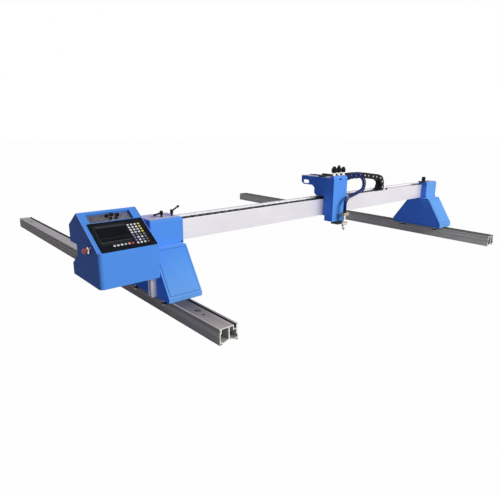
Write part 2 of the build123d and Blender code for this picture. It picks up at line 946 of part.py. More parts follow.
with BuildPart() as console_shell:
    extrude(side_section(console_x0, console_side), amount=console_width)
    outer_corner = console_shell.edges().filter_by(Axis.Z).group_by(Axis.Y)[0].sort_by(Axis.X)[0]
    fillet(outer_corner, console_corner_r)
    add(console_hollow.part, mode=Mode.SUBTRACT)
    with BuildSketch(slope_plane):
        with Locations((recess_u, recess_v)):
            Rectangle(recess_width + 2 * recess_wall, recess_length + 2 * recess_wall)
    extrude(amount=-(recess_depth + recess_wall))
    with BuildSketch(slope_plane):
        with Locations((recess_u, recess_v)):
            Rectangle(recess_width, recess_length)
    extrude(amount=-recess_depth, mode=Mode.SUBTRACT)
    with BuildSketch(slope_plane):
        with Locations((panel_u, panel_v)):
            Rectangle(panel_width - 2 * controller_margin, panel_length - 2 * controller_margin)
    extrude(amount=-2 * sheet, mode=Mode.SUBTRACT)
    slab(
        console_x0 + inside_margin + sheet,
        console_x1 - inside_margin - sheet,
        rear_y - 2 * sheet,
        rear_y + 1,
        cover_z0 + inside_margin / 2,
        cover_z1 - inside_margin / 2,
        Mode.SUBTRACT,
    )
    stem_bore = estop_stem_r + touch_gap
    button_bore = power_button_r + touch_gap
    shaft_x(console_x0 - 1, console_x0 + sheet + 1, estop_y, estop_z, stem_bore, Mode.SUBTRACT)
    shaft_x(console_x0 - 1, console_x0 + sheet + 1, power_y, power_z, button_bore, Mode.SUBTRACT)

cover_x0 = console_x0 + inside_margin
cover_x1 = console_x1 - inside_margin
cover_plane = Plane(
    origin=((cover_x0 + cover_x1) / 2, rear_y + sheet, (cover_z0 + cover_z1) / 2),
    x_dir=(-1, 0, 0),
    z_dir=(0, 1, 0),
)
with BuildPart() as console_back_cover:
    slab(cover_x0, cover_x1, rear_y, rear_y + sheet, cover_z0, cover_z1)
    with BuildSketch(cover_plane):
        with GridLocations(vent_pitch, 0, vent_count, 1):
            SlotOverall(vent_length, vent_width, rotation=90)
    extrude(amount=-2 * sheet, mode=Mode.SUBTRACT)

# Controller with raised keys, its box behind the sloping sheet, and the screen's glass
screen_u = panel_left_u + screen_from_left + screen_width / 2
screen_v = panel_top_v - screen_from_top - screen_length / 2
key_u0 = panel_u + panel_width / 2 - key_from_right - (key_columns - 1) * key_pitch_x
key_v0 = panel_top_v - key_from_top
key_places = []
for row in range(key_rows):
    for column in range(key_columns):
        key_places.append((key_u0 + column * key_pitch_x, key_v0 - row * key_pitch_y))
for key in range(function_keys):
    key_places.append((panel_left_u + function_from_left + key * key_pitch_x, panel_top_v - function_from_top))

with BuildPart() as controller_panel:
    with BuildSketch(slope_plane):
        with Locations((panel_u, panel_v)):
            RectangleRounded(panel_width, panel_length, panel_rounding)
    extrude(amount=panel_thickness)
    with BuildSketch(slope_plane):
        with Locations((panel_u, panel_v)):
            Rectangle(
                panel_width - 2 * controller_margin - 2 * touch_gap,
                panel_length - 2 * controller_margin - 2 * touch_gap,
            )
    extrude(amount=-controller_depth)
    with BuildSketch(slope_plane.offset(panel_thickness)):
        with Locations((screen_u, screen_v)):
            Rectangle(screen_width, screen_length)
    extrude(amount=-glass_thickness, mode=Mode.SUBTRACT)
    with BuildSketch(slope_plane.offset(panel_thickness)):
        with Locations(*key_places):
            Circle(key_r)
    extrude(amount=key_height, taper=12)

with BuildPart() as display_glass:
    with BuildSketch(slope_plane.offset(panel_thickness - glass_thickness)):
        with Locations((screen_u, screen_v)):
            Rectangle(screen_width, screen_length)
    extrude(amount=glass_thickness)

# Round sockets: three in the recess, a row in the rear bay
with BuildPart() as panel_sockets:
    recess_floor = slope_plane.offset(-recess_depth)
    socket_u = recess_u + recess_socket_shift
    socket_v = recess_v + recess_socket_rise
    recess_places = [
        (socket_u + k * recess_socket_pitch, socket_v + recess_socket_stagger * (1 - 2 * abs(k))) for k in (-1, 0, 1)
    ]
    with BuildSketch(recess_floor):
        with Locations(*recess_places):
            Circle(socket_r)
    extrude(amount=socket_height)
    with BuildSketch(recess_floor.offset(socket_height)):
        with Locations(*recess_places):
            Circle(socket_core_r)
    extrude(amount=-socket_core_depth, mode=Mode.SUBTRACT)
    bay_row_z = (bay_top_z + bay_floor_z) / 2
    for k in range(bay_sockets):
        x = (console_x0 + console_x1) / 2 + (k - (bay_sockets - 1) / 2) * bay_socket_pitch
        shaft_y(bay_y, bay_y + socket_height, x, bay_row_z, socket_r)
        shaft_y(
            bay_y + socket_height - socket_core_depth,
            bay_y + socket_height + 1,
            x,
            bay_row_z,
            socket_core_r,
            Mode.SUBTRACT,
        )

# Emergency stop and power button on the left side
with BuildPart() as button_collars:
    shaft_x(console_x0 - estop_collar_height, console_x0, estop_y, estop_z, estop_collar_r)
    shaft_x(console_x0 - power_collar_height, console_x0, power_y, power_z, power_collar_r)
    bore_x0 = console_x0 - estop_collar_height - 1
    shaft_x(bore_x0, console_x0 + 1, estop_y, estop_z, estop_stem_r + running_gap, Mode.SUBTRACT)
    shaft_x(bore_x0, console_x0 + 1, power_y, power_z, power_button_r + running_gap, Mode.SUBTRACT)

head_x1 = console_x0 - estop_collar_height - estop_gap - estop_travel
head_x0 = head_x1 - estop_head_height
neck_depth = estop_head_height * 0.6
with BuildPart() as estop_plunger:
    shaft_x(head_x1, console_x0 + stem_inside, estop_y, estop_z, estop_stem_r)
    shaft_x(head_x1 - neck_depth, head_x1, estop_y, estop_z, estop_neck_r)

with BuildPart() as estop_head:
    shaft_x(head_x0, head_x1 - touch_gap, estop_y, estop_z, estop_head_r)
    fillet(estop_head.edges().group_by(Axis.X)[0], estop_head_r * 0.45)
    shaft_x(head_x1 - neck_depth - touch_gap, head_x1, estop_y, estop_z, estop_neck_r + running_gap, Mode.SUBTRACT)

with BuildPart() as power_button:
    shaft_x(
        console_x0 - power_collar_height - power_button_stand,
        console_x0 + stem_inside,
        power_y,
        power_z,
        power_button_r,
    )

# Power supply and driver board on the console's floor
inside_z = console_floor_z + sheet
inside_y0 = lip_y + sheet + inside_margin
with BuildPart() as power_supply:
    supply_x0 = console_x0 + sheet + inside_margin
    slab(
        supply_x0, supply_x0 + supply_width, inside_y0, inside_y0 + supply_depth, inside_z, inside_z + supply_height
    )
    with Locations(Plane.XY.offset(inside_z + supply_height)):
        with Locations((supply_x0 + supply_width / 2, inside_y0 + supply_depth / 2)):
            with GridLocations(12, 12, 5, 5):
                Hole(3, 2)

with BuildPart() as driver_board:
    board_x1 = console_x1 - sheet - inside_margin
    board_z = inside_z + board_post_height
    slab(board_x1 - board_width, board_x1, inside_y0, inside_y0 + board_depth, board_z, board_z + board_thickness)
    for x in (board_x1 - board_width + board_margin, board_x1 - board_margin):
        for y in (inside_y0 + board_margin, inside_y0 + board_depth - board_margin):
            pillar(x, y, inside_z, board_z, board_post_r)
    for k in range(3):
        driver_y = inside_y0 + board_depth * (k + 0.5) / 3
        slab(
            board_x1 - board_width * 0.8,
            board_x1 - board_width * 0.3,
            driver_y - board_depth / 10,
            driver_y + board_depth / 10,
            board_z + board_thickness,
            board_z + board_thickness + supply_height / 2,
        )

# Bright bracket between the host shroud's side and the console's floor
bracket_y0 = beam_y0 - bracket_front
bracket_y1 = bracket_y0 + bracket_depth
with BuildPart() as console_bracket:
    bracket_x0 = host_shroud_x0 - bracket_reach
    slab(bracket_x0, host_shroud_x0, bracket_y0, bracket_y0 + bracket_thickness, bracket_foot_z, console_floor_z)
    slab(bracket_x0, host_shroud_x0, bracket_y1 - bracket_thickness, bracket_y1, bracket_foot_z, console_floor_z)
    slab(
        host_shroud_x0 - bracket_thickness / 2,
        host_shroud_x0,
        bracket_y0,
        bracket_y1,
        bracket_foot_z,
        console_floor_z,
    )

# Drag chain: lower run in the trough, loop, upper run to the carriage
chain_y0 = (trough_y0 + trough_y1 - chain_width) / 2
chain_y1 = chain_y0 + chain_width
chain_z0 = trough_z + touch_gap
chain_half = chain_height / 2
loop_x = main_x + chain_loop_x
loop_z = chain_z0 + chain_half + chain_bend_r
droop = radians(chain_droop)
entry_mid_z = chain_entry_z + chain_half
bend_end_x = loop_x + chain_bend_r * sin(droop)
bend_end_z = loop_z + chain_bend_r * cos(droop)
knee_x = bend_end_x - (entry_mid_z - bend_end_z) / tan(droop)
knee_shift = chain_half * tan(droop / 2)
lower_outline = [
    (host_socket_x1 + chain_start, chain_z0),
    (loop_x, chain_z0),
    (loop_x, chain_z0 + chain_height),
    (host_socket_x1 + chain_start, chain_z0 + chain_height),
]
upper_outline = [
    (carriage_x1, entry_mid_z - chain_half),
    (knee_x - knee_shift, entry_mid_z - chain_half),
    (bend_end_x - chain_half * sin(droop), bend_end_z - chain_half * cos(droop)),
    (bend_end_x + chain_half * sin(droop), bend_end_z + chain_half * cos(droop)),
    (knee_x + knee_shift, entry_mid_z + chain_half),
    (carriage_x1, entry_mid_z + chain_half),
]


def make_chain_run(outline):
    """Run of links with the given side outline, notched between links along both sides."""
    x0 = outline[0][0]
    x1 = max(x for x, _ in outline)
    low = min(z for _, z in outline)
    high = max(z for _, z in outline)
    with BuildPart() as run:
        with BuildSketch(Plane(origin=(0, chain_y1, 0), x_dir=(1, 0, 0), z_dir=(0, -1, 0))):
            with BuildLine():
                Polyline(*outline, close=True)
            make_face()
        extrude(amount=chain_width)
        links = floor((x1 - x0) / chain_pitch)
        for link in range(1, links):
            x = x0 + (x1 - x0) * link / links
            for y in (chain_y0, chain_y1):
                slab(
                    x - chain_notch / 2,
                    x + chain_notch / 2,
                    y - chain_notch_depth,
                    y + chain_notch_depth,
                    low - 1,
                    high + 1,
                    Mode.SUBTRACT,
                )
    return run


chain_lower_run = make_chain_run(lower_outline)
chain_upper_run = make_chain_run(upper_outline)

with BuildPart() as chain_loop:
    with BuildSketch(Plane(origin=(loop_x, chain_y1, loop_z), x_dir=(1, 0, 0), z_dir=(0, -1, 0))):
        with BuildLine():
            outer_arc = CenterArc((0, 0), chain_bend_r + chain_half, -90, 180 - chain_droop)
            inner_arc = CenterArc((0, 0), chain_bend_r - chain_half, -90, 180 - chain_droop)
            Line(outer_arc @ 0, inner_arc @ 0)
            Line(outer_arc @ 1, inner_arc @ 1)
        make_face()
    extrude(amount=chain_width)

# Torch carriage housing
carriage_y0 = beam_y0 - carriage_front
carriage_back = beam_y0 - carriage_gap
carriage_side = [
    (carriage_y0, carriage_bottom_z),
    (carriage_back - carriage_step, carriage_bottom_z),
    (carriage_back - carriage_step, carriage_step_z),
    (carriage_back, carriage_step_z),
    (carriage_back, leg_z),
    (beam_y0 + leg_back, leg_z),
    (beam_y0 + leg_back + leg_corner, leg_z + leg_corner),
    (beam_y0 + leg_back + leg_corner, leg_top_z),
    (beam_y0 + leg_back + leg_corner + leg_slant, arm_z),
    (beam_y0 + arm_back - arm_chamfer_y, arm_z),
    (beam_y0 + arm_back, arm_z + arm_chamfer_z),
    (beam_y0 + arm_back, carriage_top_z),
    (carriage_y0, carriage_top_z),
]
carriage_corners = [
    (carriage_side[6], leg_corner_r),
    (carriage_side[7], leg_corner_r),
    (carriage_side[8], leg_corner_r),
    (carriage_side[10], leg_corner_r),
]
window_y = beam_y0 + arm_back - window_from_back
lift_y = beam_y0 - lift_axis_setback
bar_y0 = carriage_y0 + sheet + 7
bar_y1 = bar_y0 + lift_bar_depth
gland_y = beam_y0 - gland_setback
gland_places = [gland_z + gland_pitch, gland_z, gland_z - gland_pitch]
stud_z = beam_top_z + beam_roller_r + touch_gap
stud_places = [carriage_mid - beam_roller_spread, carriage_mid + beam_roller_spread]

with BuildPart() as carriage_housing:
    extrude(side_section(carriage_x0, carriage_side, 0, 0, carriage_corners), amount=carriage_width)
    extrude(
        side_section(carriage_x0 + sheet, carriage_side, sheet, 0, carriage_corners),
        amount=carriage_width - 2 * sheet,
        mode=Mode.SUBTRACT,
    )
    slab(
        carriage_x0 + sheet,
        carriage_x1 - sheet,
        carriage_back,
        beam_y0 + leg_back + leg_corner - 1.5 * sheet,
        leg_z - 1,
        leg_z + leg_corner,
        Mode.SUBTRACT,
    )
    slab(
        carriage_mid - lift_bar_spread - lift_bar_width,
        carriage_mid + lift_bar_spread + lift_bar_width,
        bar_y0 - 3,
        bar_y1 + 3,
        carriage_bottom_z - 1,
        carriage_bottom_z + sheet + 1,
        Mode.SUBTRACT,
    )
    with BuildSketch(Plane.YZ.offset(carriage_x0 - 1)):
        with Locations((window_y, window_z)):
            SlotOverall(window_width, window_height)
    extrude(amount=carriage_width + 2, mode=Mode.SUBTRACT)
    for x in stud_places:
        shaft_y(carriage_back - sheet - 1, carriage_back + 1, x, stud_z, beam_roller_stud_r + 4, Mode.SUBTRACT)
    slab(
        carriage_x0 + exit_margin,
        carriage_x1 - exit_margin,
        beam_y0 + arm_back - exit_depth,
        beam_y0 + arm_back + 1,
        arm_z - 1,
        exit_top_z,
        Mode.SUBTRACT,
    )
    for z in gland_places:
        shaft_x(carriage_x1, carriage_x1 + gland_length, gland_y, z, gland_r)

# Carriage frame inside the housing: back plate, top flange over the beam, foot and roller studs
frame_x0 = carriage_x0 + frame_margin
frame_x1 = carriage_x1 - frame_margin
frame_y1 = carriage_back - carriage_step - sheet
frame_y0 = frame_y1 - frame_thickness
foot_y = bar_y1 + 4
roller_y0 = beam_y0 + (trough_wall - beam_roller_width) / 2
roller_y1 = roller_y0 + beam_roller_width
gearbox_y1 = beam_rack_y1 - beam_rack_width - touch_gap
gearbox_y0 = gearbox_y1 - x_gearbox_thickness
rod_places = [carriage_mid - rod_spread, carriage_mid + rod_spread]
flange_z = frame_top_z - frame_flange

with BuildPart() as carriage_plate:
    slab(frame_x0, frame_x1, frame_y0, frame_y1, frame_bottom_z, frame_top_z)
    slab(frame_x0, frame_x1, lift_y - z_motor_side / 2, gearbox_y1, flange_z, frame_top_z)
    slab(frame_x0, frame_x1, foot_y, frame_y0, frame_bottom_z, frame_bottom_z + frame_flange)
    pillar(carriage_mid, lift_y, flange_z - 1, frame_top_z + 1, screw_r + 3, Mode.SUBTRACT)
    for x in rod_places:
        pillar(x, lift_y, frame_bottom_z - 1, frame_bottom_z + frame_flange + 1, rod_r, Mode.SUBTRACT)
    for x in stud_places:
        shaft_y(frame_y1, roller_y1 + touch_gap, x, stud_z, beam_roller_stud_r)
        shaft_y(frame_y1, roller_y0 - touch_gap, x, stud_z, beam_roller_stud_r + 2)
        shaft_y(roller_y1 + touch_gap, roller_y1 + 2, x, stud_z, beam_roller_stud_r + 2)


def make_beam_roller(x):
    """Plain roller on a stud along Y, running on the beam's front wall."""
    with BuildPart() as roller:
        shaft_y(roller_y0, roller_y1, x, stud_z, beam_roller_r)
        shaft_y(roller_y0 - 1, roller_y1 + 1, x, stud_z, beam_roller_stud_r + running_gap, Mode.SUBTRACT)
    return roller


carriage_roller_left = make_beam_roller(stud_places[0])
carriage_roller_right = make_beam_roller(stud_places[1])

# Drive along the beam
with BuildPart() as x_pinion:
    with BuildSketch(rack_plane):
        with BuildLine():
            Polyline(*gear_outline(carriage_mid, x_axis_z, x_module, x_teeth, -pi / 2), close=True)
        make_face()
    extrude(amount=beam_rack_width)
    pinion_face_y = beam_rack_y1 - beam_rack_width
    shaft_y(pinion_face_y - x_shaft_depth, pinion_face_y, carriage_mid, x_axis_z, x_shaft_r)

with BuildPart() as x_gearmotor:
    x_motor_z = flange_z - x_motor_side / 2
    slab(
        carriage_mid - x_gearbox_width / 2,
        carriage_mid + x_gearbox_width / 2,
        gearbox_y0,
        gearbox_y1,
        x_axis_z - x_shaft_r - 5,
        flange_z,
    )
    slab(
        carriage_mid - x_motor_side / 2,
        carriage_mid + x_motor_side / 2,
        gearbox_y0 - x_motor_length,
        gearbox_y0,
        x_motor_z - x_motor_side / 2,
        x_motor_z + x_motor_side / 2,
    )
    shaft_y(
        gearbox_y1 - x_shaft_depth - 1, gearbox_y1, carriage_mid, x_axis_z, x_shaft_r + running_gap, Mode.SUBTRACT
    )

# Torch lifter: motor on the flange, screw, rods, slide with two bars down through the housing's floor
slide_z1 = slide_top_z
slide_z0 = slide_z1 - slide_height
screw_seat = 10.0
screw_z0 = frame_bottom_z + frame_flange + 2

with BuildPart() as z_motor:
    slab(
        carriage_mid - z_motor_side / 2,
        carriage_mid + z_motor_side / 2,
        lift_y - z_motor_side / 2,
        lift_y + z_motor_side / 2,
        frame_top_z,
        frame_top_z + z_motor_length,
    )
    pillar(
        carriage_mid, lift_y, frame_top_z - 1, frame_top_z + screw_seat + touch_gap, screw_r + running_gap, Mode.SUBTRACT
    )

with BuildPart() as z_screw:
    pillar(carriage_mid, lift_y, screw_z0, frame_top_z + screw_seat, screw_r)

with BuildPart() as z_guide_rods:
    for x in rod_places:
        pillar(x, lift_y, frame_bottom_z, flange_z, rod_r)

holder_z1 = carriage_bottom_z - holder_gap
holder_z0 = holder_z1 - holder_thickness
with BuildPart() as lifter_slide:
    slab(
        carriage_mid - slide_width / 2,
        carriage_mid + slide_width / 2,
        bar_y0,
        bar_y0 + slide_depth,
        slide_z0,
        slide_z1,
    )
    for x in rod_places:
        pillar(x, lift_y, slide_z0 - 1, slide_z1 + 1, rod_r + running_gap, Mode.SUBTRACT)
    pillar(carriage_mid, lift_y, slide_z0 - 1, slide_z1 + 1, screw_r + running_gap, Mode.SUBTRACT)
    for side in (-1, 1):
        bar_x = carriage_mid + side * lift_bar_spread
        slab(bar_x - lift_bar_width / 2, bar_x + lift_bar_width / 2, bar_y0, bar_y1, holder_z1, slide_z0)

# Torch, its holder under the housing and the clamp knob
torch_axis_x = carriage_x0 + torch_x
torch_axis_y = beam_y0 - torch_setback
holder_x0 = carriage_mid - holder_width / 2
holder_x1 = carriage_mid + holder_width / 2
ring_r = torch_r + clamp_ring_wall
knob_y = bar_y0
knob_z = (holder_z0 + holder_z1) / 2
with BuildPart() as torch_holder:
    slab(holder_x0, holder_x1, torch_axis_y + torch_r, bar_y1 + 4, holder_z0, holder_z1)
    pillar(torch_axis_x, torch_axis_y, holder_z0, holder_z1, ring_r)
    pillar(torch_axis_x, torch_axis_y, holder_z0 - 1, holder_z1 + 1, torch_r, Mode.SUBTRACT)
    shaft_x(
        holder_x0 - 1, holder_x0 + torch_knob_depth, knob_y, knob_z, torch_knob_stud_r + running_gap, Mode.SUBTRACT
    )

with BuildPart() as torch_clamp_knob:
    shaft_x(holder_x0 - touch_gap - torch_knob_length, holder_x0 - touch_gap, knob_y, knob_z, torch_knob_r)
    chamfer(torch_clamp_knob.edges(), 1.5)
    shaft_x(holder_x0 - touch_gap, holder_x0 + torch_knob_depth - 1, knob_y, knob_z, torch_knob_stud_r)

tail_places = [
    (torch_axis_x + tail_spread, torch_axis_y - tail_front),
    (torch_axis_x, torch_axis_y + tail_back),
    (torch_axis_x - tail_spread, torch_axis_y - tail_front),
]
manifold_z1 = torch_top_z + manifold_height
tail_top_z = manifold_z1 + tail_height
with BuildPart() as torch_body:
    pillar(torch_axis_x, torch_axis_y, torch_base_z, torch_neck_z, torch_r)
    pillar(torch_axis_x, torch_axis_y, torch_neck_z, torch_top_z, torch_neck_r)
    slab(
        torch_axis_x - manifold_left,
        torch_axis_x + manifold_right,
        torch_axis_y - manifold_depth / 2,
        torch_axis_y + manifold_depth / 2,
        torch_top_z,
        manifold_z1,
    )
    for x, y in tail_places:
        pillar(x, y, manifold_z1, tail_top_z, tail_r)

with BuildPart() as torch_nozzle:
    with BuildSketch(Plane(origin=(torch_axis_x, torch_axis_y, 0), x_dir=(1, 0, 0), z_dir=(0, -1, 0))):
        with BuildLine():
            Polyline(
                (0, nozzle_tip_z + orifice_depth),
                (orifice_r, nozzle_tip_z + orifice_depth),
                (orifice_r, nozzle_tip_z),
                (nozzle_tip_r, nozzle_tip_z),
                (torch_r * 0.72, nozzle_shoulder_z),
                (torch_r * 0.96, nozzle_shoulder_z + 2),
                (torch_r * 0.96, torch_base_z),
                (0, torch_base_z),
                close=True,
            )
        make_face()
    revolve(axis=Axis((torch_axis_x, torch_axis_y, 0), (0, 0, 1)))

# Gas valves on top of the housing
valve_y = beam_y0 - valve_setback
valve_places = [carriage_mid + k * valve_pitch for k in (-1, 0, 1)]
block_z1 = carriage_top_z + valve_block_height
with BuildPart() as valve_block:
    slab(
        carriage_x0 + sheet,
        carriage_x1 - sheet,
        valve_y - valve_block_depth / 2,
        valve_y + valve_block_depth / 2,
        carriage_top_z,
        block_z1,
    )
    for x in valve_places:
        pillar(x, valve_y, block_z1 - valve_seat_depth, block_z1 + 1, valve_stem_r + running_gap, Mode.SUBTRACT)


def make_valve_knob(x):
    """Fluted valve knob on its stem."""
    grip_z0 = block_z1 + valve_stem_height
    with BuildPart() as knob:
        add(fluted(x, valve_y, grip_z0, grip_z0 + valve_knob_height, valve_knob_r, 8))
        pillar(x, valve_y, block_z1 - valve_seat_depth + touch_gap, grip_z0, valve_stem_r)
    return knob


valve_knobs = [make_valve_knob(x) for x in valve_places]

# Cover screws: button heads with a short shank in a clearance hole
screw_bore = cover_screw_r + running_gap
socket_screw_z = deck_z + socket_screw_rise
socket_front_y = beam_y0 - socket_front
front_screws = []
for x0, x1 in ((host_socket_x0, host_socket_x1), (end_socket_x0, end_socket_x1)):
    for x in (x0 + socket_screw_inset, x1 - socket_screw_inset):
        front_screws.append((x, socket_screw_z))
cover_screw_places = []
for x in (cover_x0 + inside_margin / 2, cover_x1 - inside_margin / 2):
    for z in (cover_z0 + inside_margin / 4 + 1, cover_z1 - inside_margin / 4 - 1):
        cover_screw_places.append((x, z))

for block in (host_beam_socket, end_beam_socket):
    with block:
        for x, z in front_screws:
            shaft_y(socket_front_y - 1, socket_front_y + socket_wall + 1, x, z, screw_bore, Mode.SUBTRACT)
for block in (console_back_cover, console_shell):
    with block:
        for x, z in cover_screw_places:
            shaft_y(rear_y - 2 * sheet, rear_y + sheet + 1, x, z, screw_bore, Mode.SUBTRACT)

with BuildPart() as cover_screws:
    for x, z in front_screws:
        shaft_y(socket_front_y - screw_head_height, socket_front_y, x, z, screw_head_r)
        shaft_y(socket_front_y, socket_front_y + cover_screw_length, x, z, cover_screw_r)
    for x, z in cover_screw_places:
        cover_face = rear_y + sheet
        shaft_y(cover_face, cover_face + screw_head_height, x, z, screw_head_r)
        shaft_y(cover_face - cover_screw_length, cover_face, x, z, cover_screw_r)

# Hoses from the glands on the carriage's right side, in one bundled loop, down to the torch's tails.
# The first points of each are measured from its gland's mouth, the last from its tail's top.
outer_from_gland = [
    (0, 0, 0),
    (15.8, 0, 0),
    (47.1, -0.5, 3.3),
    (78, -1.1, 9.5),
    (109.1, -2.4, 14.3),
    (140.4, -3.9, 17),
    (171.8, -5.5, 18),
    (203, -9.4, 12.5),
    (227.8, -13, -7.7),
    (240.8, -16.6, -36.8),
    (239, -20.2, -68.5),
    (223, -23.9, -96.2),
    (195.9, -27.3, -113),
    (164.3, -31.1, -115.9),
    (134.6, -40.8, -118.3),
]
outer_to_tail = [
    (173.4, 52.6, 83.6),
    (143.1, 44.6, 81),
    (113, 36, 78.3),
    (82.8, 26.9, 76.7),
    (52.9, 17.5, 76),
    (22.6, 8.2, 71.8),
    (0.9, 1.1, 47.6),
    (0, 0, 15.6),
    (0, 0, 0),
]
middle_from_gland = [
    (0, 0, 0),
    (15.2, 0, 0),
    (45.5, -0.4, 2.8),
    (75, -1, 9.8),
    (104.7, -2.2, 15.8),
    (135, -3.8, 18.8),
    (165.2, -4.7, 20.3),
    (195.6, -9, 17.1),
    (219.8, -13.2, -2),
    (230.3, -17.5, -31.1),
    (223.9, -21.6, -61.1),
    (202.8, -26.1, -84),
    (172.8, -29.7, -90),
    (143.6, -37.7, -91.8),
    (114.8, -47, -94),
]
middle_to_tail = [
    (160.5, 38.4, 93.8),
    (131.5, 29.8, 91.1),
    (102.4, 21.3, 89.1),
    (72.8, 15, 87.7),
    (42.7, 9, 86.6),
    (15.7, 3.7, 72.8),
    (0, 0.4, 45.7),
    (0, 0, 15.1),
    (0, 0, 0),
]
inner_from_gland = [
    (0, 0, 0),
    (14.7, 0, 0),
    (44.1, -0.4, 2.4),
    (72.6, -0.9, 10),
    (101, -2, 17.2),
    (130.3, -3.7, 20.7),
    (159.5, -3.9, 22.4),
    (189.2, -8.4, 21.2),
    (212.6, -13.9, 2.5),
    (218.7, -18.9, -26.9),
    (205.1, -24.4, -54.3),
    (177.4, -29.1, -64.5),
    (148.7, -36.2, -65.5),
    (120.8, -45.2, -68),
    (92.5, -52.8, -69.9),
]
inner_to_tail = [
    (145.3, 41.8, 103.5),
    (117.1, 33.4, 101.3),
    (88.8, 25.7, 99.7),
    (60.3, 18.2, 98.7),
    (32.7, 10.5, 91.5),
    (10.9, 4.3, 71.5),
    (-0.4, 0.2, 44.4),
    (0, 0, 14.6),
    (0, 0, 0),
]


def make_hose(label, gland_place, tail_place, from_gland, to_tail):
    """Round hose along straight runs joined by the largest tangent arcs that fit."""
    mouth = Vector(carriage_x1 + gland_length, gland_y, gland_place)
    tail = Vector(*tail_place, tail_top_z)
    route = [mouth + Vector(*step) for step in from_gland]
    route += [tail + Vector(*step) for step in to_tail]
    radii = []
    for a, b, c in zip(route, route[1:], route[2:]):
        turn = radians((b - a).get_angle(c - b))
        radii.append(0.45 * min((b - a).length, (c - b).length) / tan(turn / 2))
    with BuildPart() as hose:
        with BuildLine() as path:
            FilletPolyline(*route, radius=radii)
        with BuildSketch(Plane(origin=route[0], z_dir=route[1] - route[0])):
            Circle(hose_d / 2)
        sweep()
    print(label, "length", round(path.wire().length), "tightest radius", round(min(radii)))
    return hose


torch_hose = make_hose("outer hose", gland_places[0], tail_places[0], outer_from_gland, outer_to_tail)
with BuildPart() as torch_lead:
    add(make_hose("middle hose", gland_places[1], tail_places[1], middle_from_gland, middle_to_tail).part)
    add(make_hose("inner hose", gland_places[2], tail_places[2], inner_from_gland, inner_to_tail).part)

pieces = {
    "main_rail": main_rail,
    "idle_rail": idle_rail,
    "main_rack": main_rack,
    "host_base_plate": host_base_plate,
    "host_shroud": host_shroud,
    "host_beam_socket": host_beam_socket,
    "clamp_lever_left": clamp_lever_left,
    "clamp_lever_right": clamp_lever_right,
    "console_bracket": console_bracket,
    "roller_axles": roller_axles,
    "y_gearmotor": y_gearmotor,
    "y_pinion": y_pinion,
    "console_shell": console_shell,
    "console_back_cover": console_back_cover,
    "controller_panel": controller_panel,
    "display_glass": display_glass,
    "panel_sockets": panel_sockets,
    "button_collars": button_collars,
    "estop_plunger": estop_plunger,
    "estop_head": estop_head,
    "power_button": power_button,
    "power_supply": power_supply,
    "driver_board": driver_board,
    "beam": beam,
    "beam_rack": beam_rack,
    "chain_lower_run": chain_lower_run,
    "chain_loop": chain_loop,
    "chain_upper_run": chain_upper_run,
    "end_base_plate": end_base_plate,
    "end_shroud": end_shroud,
    "end_beam_socket": end_beam_socket,
    "end_clamp_plate": end_clamp_plate,
    "end_clamp_knob": end_clamp_knob,
    "carriage_housing": carriage_housing,
    "carriage_plate": carriage_plate,
    "carriage_roller_left": carriage_roller_left,
    "carriage_roller_right": carriage_roller_right,
    "x_gearmotor": x_gearmotor,
    "x_pinion": x_pinion,
    "z_motor": z_motor,
    "z_screw": z_screw,
    "z_guide_rods": z_guide_rods,
    "lifter_slide": lifter_slide,
    "torch_holder": torch_holder,
    "torch_clamp_knob": torch_clamp_knob,
    "torch_body": torch_body,
    "torch_nozzle": torch_nozzle,
    "valve_block": valve_block,
    "valve_knob_left": valve_knobs[0],
    "valve_knob_middle": valve_knobs[1],
    "valve_knob_right": valve_knobs[2],
    "cover_screws": cover_screws,
    "torch_hose": torch_hose,
    "torch_lead": torch_lead,
}
pieces.update(rollers)
for piece_name, piece in pieces.items():
    piece.part.label = piece_name
    export_step(piece.part, f"parts/{piece_name}.step")
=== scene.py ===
from math import cos, pi, radians, sin, tan

import bpy
import numpy as np
from mathutils import Matrix, Vector


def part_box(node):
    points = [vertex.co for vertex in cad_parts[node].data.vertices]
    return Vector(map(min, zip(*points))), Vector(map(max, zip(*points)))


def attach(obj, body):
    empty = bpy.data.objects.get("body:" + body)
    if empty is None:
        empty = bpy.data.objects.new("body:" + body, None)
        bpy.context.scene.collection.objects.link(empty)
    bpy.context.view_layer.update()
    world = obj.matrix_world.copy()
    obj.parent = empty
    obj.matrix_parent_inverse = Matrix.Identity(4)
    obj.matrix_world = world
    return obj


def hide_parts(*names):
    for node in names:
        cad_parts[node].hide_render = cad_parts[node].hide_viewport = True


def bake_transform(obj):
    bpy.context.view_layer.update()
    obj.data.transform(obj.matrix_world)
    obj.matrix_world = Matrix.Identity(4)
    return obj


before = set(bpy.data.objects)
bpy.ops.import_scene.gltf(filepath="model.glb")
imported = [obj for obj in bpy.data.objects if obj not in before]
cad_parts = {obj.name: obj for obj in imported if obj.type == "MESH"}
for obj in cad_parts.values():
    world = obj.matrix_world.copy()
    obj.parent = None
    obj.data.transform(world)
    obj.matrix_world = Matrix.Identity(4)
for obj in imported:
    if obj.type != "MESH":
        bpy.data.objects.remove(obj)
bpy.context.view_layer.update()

# Directions, and places in the machine's frame in metres
EAST, NORTH, UP = np.eye(3)
MAIN_RAIL_X = -1.122
BEAM_FRONT_Y = -0.930
BEAM_TOP_Z = 0.420
DECK_Z = 0.312
CARRIAGE_RIGHT = 0.249
CARRIAGE_TOP_Z = 0.560
TORCH = np.array([0.186, -1.050, 0.0])

# Camera solved from the straight edges of the photograph
EYE = Vector((-2.1761, -2.8639, 0.8720))
YAW, PITCH, ROLL = radians(40.39), radians(14.904), radians(0.28)
FOCAL_PIXELS, FRAME_WIDTH, SENSOR_WIDTH = 450.6, 498, 36


# Surfaces
def unit(v):
    """Vectors of an array along its last axis, scaled to length one."""
    return v / np.linalg.norm(v, axis=-1, keepdims=True)


